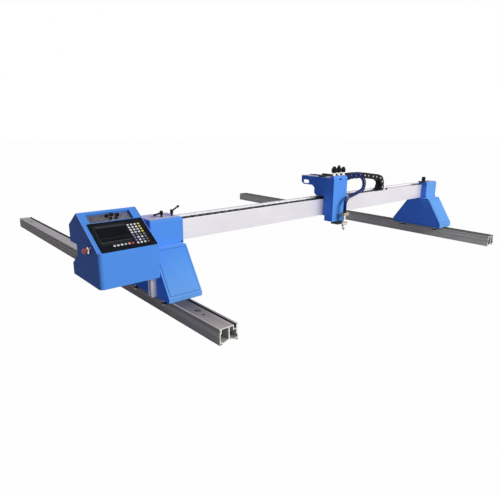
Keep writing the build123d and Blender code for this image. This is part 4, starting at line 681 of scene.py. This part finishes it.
# Hoses from the carriage to the torch: name, node, stated length, then the route in millimetres, its first
# part from the gland's mouth and its last part from the torch's tail
HOSES = (
    ("hose_outer", "torch_hose", 0.693, [
        (0, 0, 0), (15.8, 0, 0), (47.1, -0.5, 3.3), (78, -1.1, 9.5), (109.1, -2.4, 14.3), (140.4, -3.9, 17),
        (171.8, -5.5, 18), (204.8, -9.4, 12.5), (231.4, -13, -7.7), (245.3, -16.6, -36.8),
        (243.5, -20.2, -68.5), (226.2, -23.9, -98), (196.8, -27.3, -111.9), (164.3, -31.1, -113.4),
        (134.6, -40.8, -114.8),
    ], [
        (173.4, 52.6, 87.3), (143.1, 44.6, 84.8), (113, 36, 82.3), (82.8, 26.9, 80.6), (52.9, 17.5, 79.3),
        (22.6, 8.2, 71.6), (0.9, 1.1, 50), (0, 0, 15.6), (0, 0, 0),
    ]),
    ("hose_middle", "torch_lead", 0.668, [
        (0, 0, 0), (15.2, 0, 0), (45.5, -0.4, 2.8), (75, -1, 9.8), (104.7, -2.2, 15.8), (135, -3.8, 18.8),
        (165.2, -4.7, 20.3), (195.6, -9, 17.1), (219.8, -13.2, -2), (230.3, -17.5, -31.1),
        (223.9, -21.6, -61.1), (202.8, -26.1, -84), (172.8, -27.8, -90), (143.6, -33.4, -91.8),
        (114.8, -42.2, -94),
    ], [
        (160.5, 43.2, 93.8), (131.5, 34.6, 91.1), (102.4, 26.1, 89.1), (72.8, 19.8, 87.7), (42.7, 12.8, 86.6),
        (15.7, 5.6, 72.8), (0, 0.4, 45.7), (0, 0, 15.1), (0, 0, 0),
    ]),
    ("hose_inner", "torch_lead", 0.648, [
        (0, 0, 0), (14.7, 0, 0), (44.1, -0.4, 2.4), (72.6, -0.9, 10), (101, -2, 17.2), (130.3, -3.7, 20.7),
        (159.5, -3.9, 22.4), (189.2, -8.4, 21.2), (212.6, -13.9, 2.5), (218.7, -18.9, -26.9),
        (205.1, -24.4, -54.3), (177.4, -29.1, -65.5), (148.7, -36.2, -68.8), (120.8, -45.2, -71.6),
        (92.5, -52.8, -73.8),
    ], [
        (145.3, 41.8, 99.7), (117.1, 33.4, 97.6), (88.8, 25.7, 96.1), (60.3, 18.2, 94.8), (32.7, 10.5, 87.3),
        (10.9, 4.3, 73.5), (-0.4, 0.2, 44.4), (0, 0, 14.6), (0, 0, 0),
    ]),
)
HOSE_D = 0.009
GLAND_MOUTH_X, GLAND_Y = 0.261, -0.952
GLAND_Z = (0.552, 0.538, 0.524)
TAILS = ((0.192, -1.0545), (0.186, -1.045), (0.180, -1.0545))
TAIL_TOP_Z = 0.348


def hose(name, node, length, from_gland, to_tail, mouth, tail):
    """One hose: a round tube on the smooth curve of its route, from the gland's mouth to the torch's tail."""
    first, last = np.array(from_gland) / 1000, np.array(to_tail) / 1000
    line = smooth_route(np.concatenate([mouth + first, tail + last]))
    piece = build(name, *carried(line, HOSE_D / 2), hose_blue, 60)
    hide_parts(node)
    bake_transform(piece)


for spec, z, (x, y) in zip(HOSES, GLAND_Z, TAILS):
    hose(*spec, (GLAND_MOUTH_X, GLAND_Y, z), (x, y, TAIL_TOP_Z))

# Camera
forward = Vector((sin(YAW) * cos(PITCH), cos(YAW) * cos(PITCH), -sin(PITCH)))
level = Vector((cos(YAW), -sin(YAW), 0))
rise = level.cross(forward)
right = cos(ROLL) * level + sin(ROLL) * rise
upward = -sin(ROLL) * level + cos(ROLL) * rise
camera_data = bpy.data.cameras.new("camera")
camera_data.sensor_width = SENSOR_WIDTH
camera_data.lens = FOCAL_PIXELS / FRAME_WIDTH * SENSOR_WIDTH
camera_data.clip_end = 100
camera = bpy.data.objects.new("camera", camera_data)
rows = [[right[i], upward[i], -forward[i], EYE[i]] for i in range(3)]
camera.matrix_world = Matrix(rows + [[0, 0, 0, 1]])
bpy.context.scene.collection.objects.link(camera)
bpy.context.scene.camera = camera

# Drag chain: its sides, height, pitch and height in the trough, then the bend and the place where it droops
CHAIN_Y0, CHAIN_Y1 = -0.918, -0.862
CHAIN_HEIGHT, CHAIN_PITCH = 0.040, 0.050
TROUGH_Z = BEAM_TOP_Z - 0.0405
CHAIN_Z = TROUGH_Z + 0.0003 + CHAIN_HEIGHT / 2
CHAIN_START = MAIN_RAIL_X + 0.131
CHAIN_R, CHAIN_DROOP = 0.060, radians(7.6)
CHAIN_ENTRY_Z = 0.548
LOOP_X, LOOP_Z = MAIN_RAIL_X + 1.871, CHAIN_Z + CHAIN_R
BEND_END = (LOOP_X + CHAIN_R * sin(CHAIN_DROOP), LOOP_Z + CHAIN_R * cos(CHAIN_DROOP))
KNEE_X = BEND_END[0] - (CHAIN_ENTRY_Z - BEND_END[1]) / tan(CHAIN_DROOP)
# Side plates: length in pitches, corner radius, how far the rim is drawn in and every second link tucked in
LINK_LAP, LINK_CORNER, LINK_RIM, TUCK = 1.16, 0.013, 0.001, 0.0034
# Bars: thickness and distance inside the plates, corner radius; pins: how far set back, height, profile
BAR, BAR_CORNER = 0.003, 0.0013
PIN_BACK, PIN_HEIGHT = 0.008, 0.0038
PIN_DOME = ((0.0074, 0.0), (0.0074, 0.0016), (0.0068, 0.0026), (0.0050, 0.0034), (0.0022, PIN_HEIGHT))


def links_along(path):
    """Middles, directions and pitch of the links that fill a path of x, z points: equal steps of arc length,
    each link along the chord between its two ends."""
    path = np.asarray(path, float)
    run = np.concatenate([[0], np.cumsum(np.linalg.norm(np.diff(path, axis=0), axis=1))])
    count = max(1, round(run[-1] / CHAIN_PITCH))
    ends = np.linspace(0, run[-1], count + 1)
    x, z = np.interp(ends, run, path[:, 0]), np.interp(ends, run, path[:, 1])
    joints = np.stack([x, np.zeros(count + 1), z], -1)
    return (joints[1:] + joints[:-1]) / 2, unit(np.diff(joints, axis=0)), run[-1] / count


def chain_links(path, bar_share, bar_shift):
    """Links along a path: two side plates joined by a bar above and below. Every second link is tucked inside
    its neighbours. A plate is a rounded outline carried through its thickness with its outer rim drawn in; a
    bar is a rounded strip carried from plate to plate."""
    middles, ways, pitch = links_along(path)
    long = pitch * LINK_LAP
    full = rounded_outline(long, CHAIN_HEIGHT, LINK_CORNER)
    rim = rounded_outline(long - 2 * LINK_RIM, CHAIN_HEIGHT - 2 * LINK_RIM, LINK_CORNER - LINK_RIM)
    bar = rounded_outline(pitch * bar_share, BAR, BAR_CORNER, 2) + (bar_shift * pitch, 0)
    shapes = []
    for number, (middle, way) in enumerate(zip(middles, ways)):
        out = np.array([-way[2], 0, way[0]])
        tuck = 0.0006 + TUCK * (number % 2)
        for face, inward in ((CHAIN_Y0 + tuck, 1), (CHAIN_Y1 - tuck, -1)):
            loops = []
            for outline, depth in ((rim, 0.0), (full, 0.0009), (full, 0.0032)):
                flat = middle + outline[:, :1] * way + outline[:, 1:] * out
                loops.append(flat + (face + inward * depth) * NORTH)
            shapes.append(loft(np.array(loops[::-inward])))
        for side in (-1, 1):
            lift = side * (CHAIN_HEIGHT / 2 - BAR)
            flat = middle + bar[:, :1] * way + (bar[:, 1:] + lift) * out
            ends = [flat + y * NORTH for y in (CHAIN_Y1 - tuck - BAR, CHAIN_Y0 + tuck + BAR)]
            shapes.append(loft(np.array(ends)))
    return gather(shapes)


def chain_pins(path):
    """Pale hinge pins: a low dome on the outside of each side plate, a little behind the link's middle."""
    middles, ways, _ = links_along(path)
    shapes = []
    for number, middle in enumerate(middles - PIN_BACK * ways):
        deep = PIN_HEIGHT + TUCK * (number % 2)
        shapes.append(turned(middle + (CHAIN_Y0 + deep) * NORTH, -NORTH, PIN_DOME, 14))
        shapes.append(turned(middle + (CHAIN_Y1 - deep) * NORTH, NORTH, PIN_DOME, 14))
    return gather(shapes)


lower_path = [(CHAIN_START, CHAIN_Z), (LOOP_X, CHAIN_Z)]
upper_path = [(CARRIAGE_RIGHT, CHAIN_ENTRY_Z), (KNEE_X, CHAIN_ENTRY_Z), BEND_END]
bend = np.linspace(pi / 2 - CHAIN_DROOP, -pi / 2, 60)
loop_path = np.stack([LOOP_X + CHAIN_R * np.cos(bend), LOOP_Z + CHAIN_R * np.sin(bend)], -1)
lower_chain = build("chain_lower_links", *chain_links(lower_path, 0.72, 0.0), chain_black)
upper_chain = build("chain_upper_links", *chain_links(upper_path, 0.36, 0.30), chain_black)
loop_chain = build("chain_loop_links", *chain_links(loop_path, 0.94, 0.0), chain_black)
upper_pins = build("chain_upper_pins", *chain_pins(upper_path), pin_pale)
loop_pins = build("chain_loop_pins", *chain_pins(loop_path), pin_pale)
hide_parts("chain_lower_run")
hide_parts("chain_upper_run")
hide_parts("chain_loop")
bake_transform(lower_chain)
for piece in (upper_chain, upper_pins):
    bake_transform(piece)
for piece in (loop_chain, loop_pins):
    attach(piece, "chain_loop")

# Keys on the controller: letters of the rows from the top, and each letter's name and two shades
KEYPAD = ("WWWY", "WWWY", "WWWY", "WWWY", "SDDD", "SWWD", "SWSB", "WWWB")
FUNCTION_ROW = "WWWGPR"
KEY_LOOK = {
    "W": ("white", (0.62, 0.63, 0.64), (0.78, 0.78, 0.78)),
    "Y": ("yellow", (0.62, 0.50, 0.06), (0.78, 0.66, 0.16)),
    "S": ("slate", (0.12, 0.17, 0.32), (0.18, 0.24, 0.42)),
    "D": ("grey", (0.12, 0.14, 0.14), (0.22, 0.24, 0.24)),
    "B": ("brown", (0.12, 0.07, 0.05), (0.20, 0.12, 0.09)),
    "G": ("green", (0.30, 0.55, 0.50), (0.42, 0.68, 0.62)),
    "P": ("pink", (0.66, 0.30, 0.36), (0.78, 0.46, 0.5)),
    "R": ("red", (0.42, 0.03, 0.05), (0.6, 0.07, 0.09)),
}
KEY_PITCH_U, KEY_PITCH_V = 0.0173, 0.0166
# First key of the keypad and of the function row on the panel, and how far the keys stand out of the slope
KEYPAD_U, KEYPAD_V = PANEL_WIDTH - 0.034 - 3 * KEY_PITCH_U, PANEL_TOP - 0.039
FUNCTION_U, FUNCTION_V = 0.066, PANEL_TOP - 0.152
KEY_OUT = 0.0039


def key_cap(u, v):
    """Membrane key: a small rounded plate that covers the dome under it."""
    foot = slope_point(PANEL_LEFT + u, v, KEY_OUT)
    return plate(foot, SLOPE_U, SLOPE_V, 0.0104, 0.0094, 0.0020, 0.0022, 0.0009, 4)


caps = {letter: [] for letter in KEY_LOOK}
for row, letters in enumerate(KEYPAD):
    for column, letter in enumerate(letters):
        caps[letter].append(key_cap(KEYPAD_U + column * KEY_PITCH_U, KEYPAD_V - row * KEY_PITCH_V))
for column, letter in enumerate(FUNCTION_ROW):
    caps[letter].append(key_cap(FUNCTION_U + column * KEY_PITCH_U, FUNCTION_V))
for letter, (shade, dark, light) in KEY_LOOK.items():
    finish = gloss_plastic("key_" + shade, dark, light, 0.35)
    fit("keys_" + shade, caps[letter], finish, "gantry")

# Plate on the floor of the recess above the controller
recess = plate(slope_point(0.1425, 0.219, -0.0139), SLOPE_U, SLOPE_V, 0.210, 0.059, 0.002, 0.0012, 0.0004, 3)
fit("recess_plate", [recess], recess_sheet(), "gantry")

# Rolled hems along the two sides of the console's slope, painted a paler blue as a painted highlight
hems = []
for u in (0.0012, CONSOLE_X1 - CONSOLE_X0 - 0.0012):
    edge = [slope_point(u, v, -0.0004) for v in np.linspace(0.002, SLOPE_LENGTH - 0.002, 24)]
    hems.append(carried(edge, 0.0022, 12))
fit("console_hems", hems, hem_highlight_blue, "gantry")

# Emergency stop: a mushroom head over its plunger, in shares of its radius and height
MUSHROOM = np.array([
    (0.45, 0.0), (0.90, 0.02), (0.985, 0.09), (1.0, 0.18), (1.0, 0.34), (0.965, 0.50), (0.88, 0.66),
    (0.74, 0.80), (0.55, 0.905), (0.32, 0.975), (0.10, 1.0),
])
low, high = np.array(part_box("estop_head"))
tall, wide = (high - low)[:2]
seat = ((low + high) + tall * EAST) / 2
mushroom = turned(seat, -EAST, MUSHROOM * (wide / 2, tall), 48)
head = fit("estop_mushroom", [mushroom], stop_red, "estop_head", 50)
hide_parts("estop_head")

# Two small plugs beside the sockets in the recess
plug = [(0.0060, 0), (0.0066, 0.001), (0.0066, 0.006), (0.0058, 0.0068), (0.0058, 0.0095), (0.0044, 0.0108)]
plugs = [turned(slope_point(u, 0.214, -0.0128), SLOPE_W, plug, 20) for u in (0.1475, 0.1735)]
fit("recess_plugs", plugs, black_grip, "gantry")

# Gland nuts where the hoses leave the carriage, and crimped ferrules on the torch's tails
gland = [(0.0067, 0), (0.0073, 0.0008), (0.0073, 0.0066), (0.0067, 0.0074), (0.0067, 0.0105),
         (0.0058, 0.0128), (0.0047, 0.0131)]
glands = [turned((CARRIAGE_RIGHT, GLAND_Y, z), EAST, gland, 12) for z in GLAND_Z]
fit("gland_nuts", glands, black_grip, "torch_carriage", 25)
ferrule = [(0.0046, -0.0118), (0.0054, -0.011), (0.0054, -0.004), (0.0049, -0.0032), (0.0049, -0.0012),
           (0.0054, -0.0004), (0.0054, 0.010), (0.0050, 0.0112), (0.0046, 0.0115)]
ferrules = [turned((x, y, TAIL_TOP_Z), UP, ferrule, 20) for x, y in TAILS]
fit("tail_ferrules", ferrules, black_grip, "lifter")

# Torch: nuts on the head's ends, then rings round it as rows of (radius, height): a clamp band round the
# holder's ring, a collar under the head and a shield ring above the nozzle
HEAD = TORCH + 0.327 * UP
cap = [(0.0052, 0), (0.0056, 0.001), (0.0056, 0.006), (0.0046, 0.0072)]
nuts = [hexagon(HEAD + 0.0298 * EAST, EAST, 0.015, 0.008, 0.0012),
        turned(HEAD + 0.0378 * EAST, EAST, cap, 20),
        hexagon(HEAD - 0.0198 * EAST, -EAST, 0.013, 0.005, 0.001)]
fit("torch_head_nuts", nuts, brass, "lifter")
TORCH_RINGS = (
    ("torch_clamp_band", 48, [(0.0212, 0.2606), (0.0224, 0.2612), (0.0224, 0.2746), (0.0212, 0.2752)]),
    ("torch_collar", 40, [
        (0.0132, 0.277), (0.015, 0.2776), (0.0156, 0.279), (0.0156, 0.285), (0.015, 0.2862), (0.0132, 0.287),
    ]),
    ("torch_shield_ring", 40, [
        (0.0127, 0.24), (0.014, 0.2406), (0.0146, 0.242), (0.0146, 0.2478), (0.0138, 0.2496), (0.0128, 0.25),
    ]),
)
for name, sides, profile in TORCH_RINGS:
    fit(name, [turned(TORCH, UP, profile, sides)], plated, "lifter")


# On the carriage's top: a cable bar beside the chain's end, a cable clamp with two screws, the cover of the
# cable between them
def on_arm(x, y, *sizes):
    """Rounded plate lying on the carriage's top."""
    return plate((x, y, CARRIAGE_TOP_Z), EAST, NORTH, *sizes)


screw = [(0.0035, 0), (0.0035, 0.0016), (0.0028, 0.0024)]
screws = [turned((x, -0.890, CARRIAGE_TOP_Z + 0.0088), UP, screw, 16) for x in (0.126, 0.146)]
ARM_PIECES = (
    ("arm_cable_bar", [on_arm(0.233, -0.880, 0.018, 0.140, 0.004, 0.011, 0.003)]),
    ("arm_cable_clamp", [on_arm(0.136, -0.890, 0.036, 0.036, 0.004, 0.009, 0.002)] + screws),
    ("arm_cable_sleeve", [
        on_arm(0.178, -0.800, 0.012, 0.100, 0.005, 0.006, 0.0028),
        on_arm(0.188, -0.884, 0.072, 0.012, 0.005, 0.006, 0.0028)]),
)
for name, shapes in ARM_PIECES:
    fit(name, shapes, black_grip, "torch_carriage")

# Gas valves: a lobed black grip with a pressed cap on a plated stem, opened by different amounts; for each
# its side, place along the beam, radius and top of the grip
VALVES = (("left", 0.135, 0.0178, 0.634), ("middle", 0.181, 0.0145, 0.639), ("right", 0.227, 0.0155, 0.628))
VALVE_Y = BEAM_FRONT_Y - 0.060
STEM_FOOT_Z, GRIP_FOOT_Z = CARRIAGE_TOP_Z + 0.0045, CARRIAGE_TOP_Z + 0.032
# Grip in shares of its radius and height, stem in metres
GRIP_SHAPE = np.array([
    (0.50, 0.0), (0.93, 0.03), (1.0, 0.10), (1.0, 0.63), (0.94, 0.72), (0.72, 0.756), (0.62, 0.78),
    (0.60, 0.94), (0.52, 0.99), (0.11, 1.0),
])
STEM_SHAPE = [(0.0047, 0.0), (0.0049, 0.0005), (0.0049, 0.0085), (0.0085, 0.0093), (0.0092, 0.0105),
              (0.0092, 0.0165), (0.0085, 0.0177), (0.0060, 0.0185), (0.0060, GRIP_FOOT_Z - STEM_FOOT_Z)]
for side, x, grip_r, grip_top in VALVES:
    node = "valve_knob_" + side
    profile = GRIP_SHAPE * (grip_r, grip_top - GRIP_FOOT_Z)
    knob = turned((x, VALVE_Y, GRIP_FOOT_Z), UP, profile, 60, 5, 0.16)
    shaft = turned((x, VALVE_Y, STEM_FOOT_Z), UP, STEM_SHAPE, 24)
    grip = fit("valve_grip_" + side, [knob], black_grip, node, 40)
    stem = fit("valve_stem_" + side, [shaft], plated, node)
    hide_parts(node)
    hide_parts(node)

# Latch on the front of the carriage, near its top
latch = [plate((0.177, -1.010, 0.552), EAST, UP, 0.020, 0.009, 0.002, 0.0022, 0.0008),
         plate((0.177, -1.0121, 0.552), EAST, UP, 0.012, 0.004, 0.001, 0.0018, 0.0006)]
fit("carriage_latch", latch, black_grip, "torch_carriage")

# Stop for the carriage's roller on the beam's front wall
stop = [plate((0.844, -0.925, BEAM_TOP_Z), EAST, NORTH, 0.016, 0.0085, 0.002, 0.0145, 0.002)]
fit("carriage_stop", stop, black_grip, "gantry")

# Shrouds: how far the roof reaches before and behind the beam's front, and the skirt behind it; left edge,
# front and crease of the end carriage's
ROOF_FRONT, ROOF_BACK, SKIRT_BACK = 0.077, 0.090, 0.227
END_LEFT, END_FRONT, END_CREASE_Z = 1.337, 0.202, 0.115


def cover_plate(name, left, right, front, crease_z, inset):
    """Thin cover on a shroud's sloping front, over a dark seal that shows round its edge."""
    foot = np.array([0.0, BEAM_FRONT_Y - front, crease_z])
    slope = np.array([0.0, BEAM_FRONT_Y - ROOF_FRONT, DECK_Z]) - foot
    middle = foot + slope / 2 + EAST * (left + right) / 2
    up = unit(slope)
    wide, tall = right - left - 2 * inset, np.linalg.norm(slope) - 2 * inset
    seal = plate(middle, EAST, up, wide + 0.0036, tall + 0.0036, 0.004, 0.0005, 0.0002)
    face = plate(middle, EAST, up, wide, tall, 0.003, 0.0016, 0.0007)
    fit(name + "_seal", [seal], seal_navy, "gantry")
    fit(name + "_plate", [face], blue, "gantry")


cover_plate("host_cover", -1.191, -1.008, 0.209, 0.100, 0.011)
cover_plate("end_cover", END_LEFT, 1.513, END_FRONT, END_CREASE_Z, 0.011)


def side_panel(name, x, front, skirt_z, crease_z, inset):
    """Pressed panel on a shroud's left side, over a slightly larger dark seal: the side's own outline moved
    inwards along the corner bisectors, carried out by the thickness, with the rim drawn in."""
    corners = np.array([
        (-front, skirt_z), (-front, crease_z), (-ROOF_FRONT, DECK_Z), (ROOF_BACK, DECK_Z),
        (SKIRT_BACK, crease_z), (SKIRT_BACK, skirt_z),
    ]) + (BEAM_FRONT_Y, 0)
    ahead, behind = unit(np.roll(corners, -1, 0) - corners), unit(corners - np.roll(corners, 1, 0))
    turn_in = np.stack([ahead[:, 1] + behind[:, 1], -ahead[:, 0] - behind[:, 0]], -1)
    turn_in = turn_in / (1 + np.sum(ahead * behind, -1, keepdims=True))

    def ring(depth, out):
        flat = corners + depth * turn_in
        return np.stack([np.full(len(flat), x - out), flat[:, 0], flat[:, 1]], -1)

    seal = loft(np.array([ring(inset - 0.0022, 0.0), ring(inset - 0.0022, 0.0004)]))
    face = loft(np.array([ring(inset, 0.0), ring(inset, 0.0007), ring(inset + 0.0006, 0.0012)]))
    fit(name + "_seal", [seal], seal_navy, "gantry")
    fit(name + "_panel", [face], blue, "gantry")


side_panel("end_side", END_LEFT, END_FRONT, 0.082, END_CREASE_Z, 0.010)


# Floor, world and light
def pale_floor():
    """Floor: pale matt surface that reads as white to the eye and in reflections and keeps soft shadows."""
    b = Bench("pale_floor")
    matt = b.node("ShaderNodeBsdfDiffuse", {"Color": (0.46, 0.46, 0.46, 1)})
    white = b.node("ShaderNodeEmission", {"Color": (1, 1, 1, 1), "Strength": 1.0})
    mix = b.node("ShaderNodeMixShader", {0: b.seen_rays() * 0.985, 1: matt, 2: white})
    b.node("ShaderNodeOutputMaterial", {"Surface": mix})
    return b.owner


def studio_world():
    """World: white to the eye and in reflections, a dim tint for the light that falls on the machine."""
    b = Bench("studio", world=True)
    dim = b.node("ShaderNodeBackground", {"Color": (0.88, 0.74, 1.0, 1), "Strength": 0.215})
    clear = b.node("ShaderNodeBackground", {"Color": (1, 1, 1, 1), "Strength": 1.0})
    mix = b.node("ShaderNodeMixShader", {0: b.seen_rays(), 1: dim, 2: clear})
    b.node("ShaderNodeOutputWorld", {"Surface": mix})
    return b.owner


FLOOR_HALF, FLOOR_Z = 30.0, -0.0005
floor_points = [(FLOOR_HALF * x, FLOOR_HALF * y, FLOOR_Z) for x, y in ((-1, -1), (1, -1), (1, 1), (-1, 1))]
floor = build("floor", floor_points, [[0, 1, 2, 3]], pale_floor())
bpy.context.scene.world = studio_world()

# Key light: one large area lamp in front, aimed at the machine
LAMP_PLACE, LAMP_TARGET = Vector((3.5, -11.8, 6.4)), Vector((0, -0.9, 0.3))
lamp = bpy.data.lights.new("key_box", "AREA")
lamp.shape = "RECTANGLE"
lamp.size, lamp.size_y, lamp.energy = 9.0, 7.0, 1775
holder = bpy.data.objects.new("key_box", lamp)
aim = (LAMP_TARGET - LAMP_PLACE).to_track_quat("-Z", "Y")
holder.matrix_world = Matrix.Translation(LAMP_PLACE) @ aim.to_matrix().to_4x4()
bpy.context.scene.collection.objects.link(holder)

bpy.context.scene.view_settings.view_transform = "Standard"
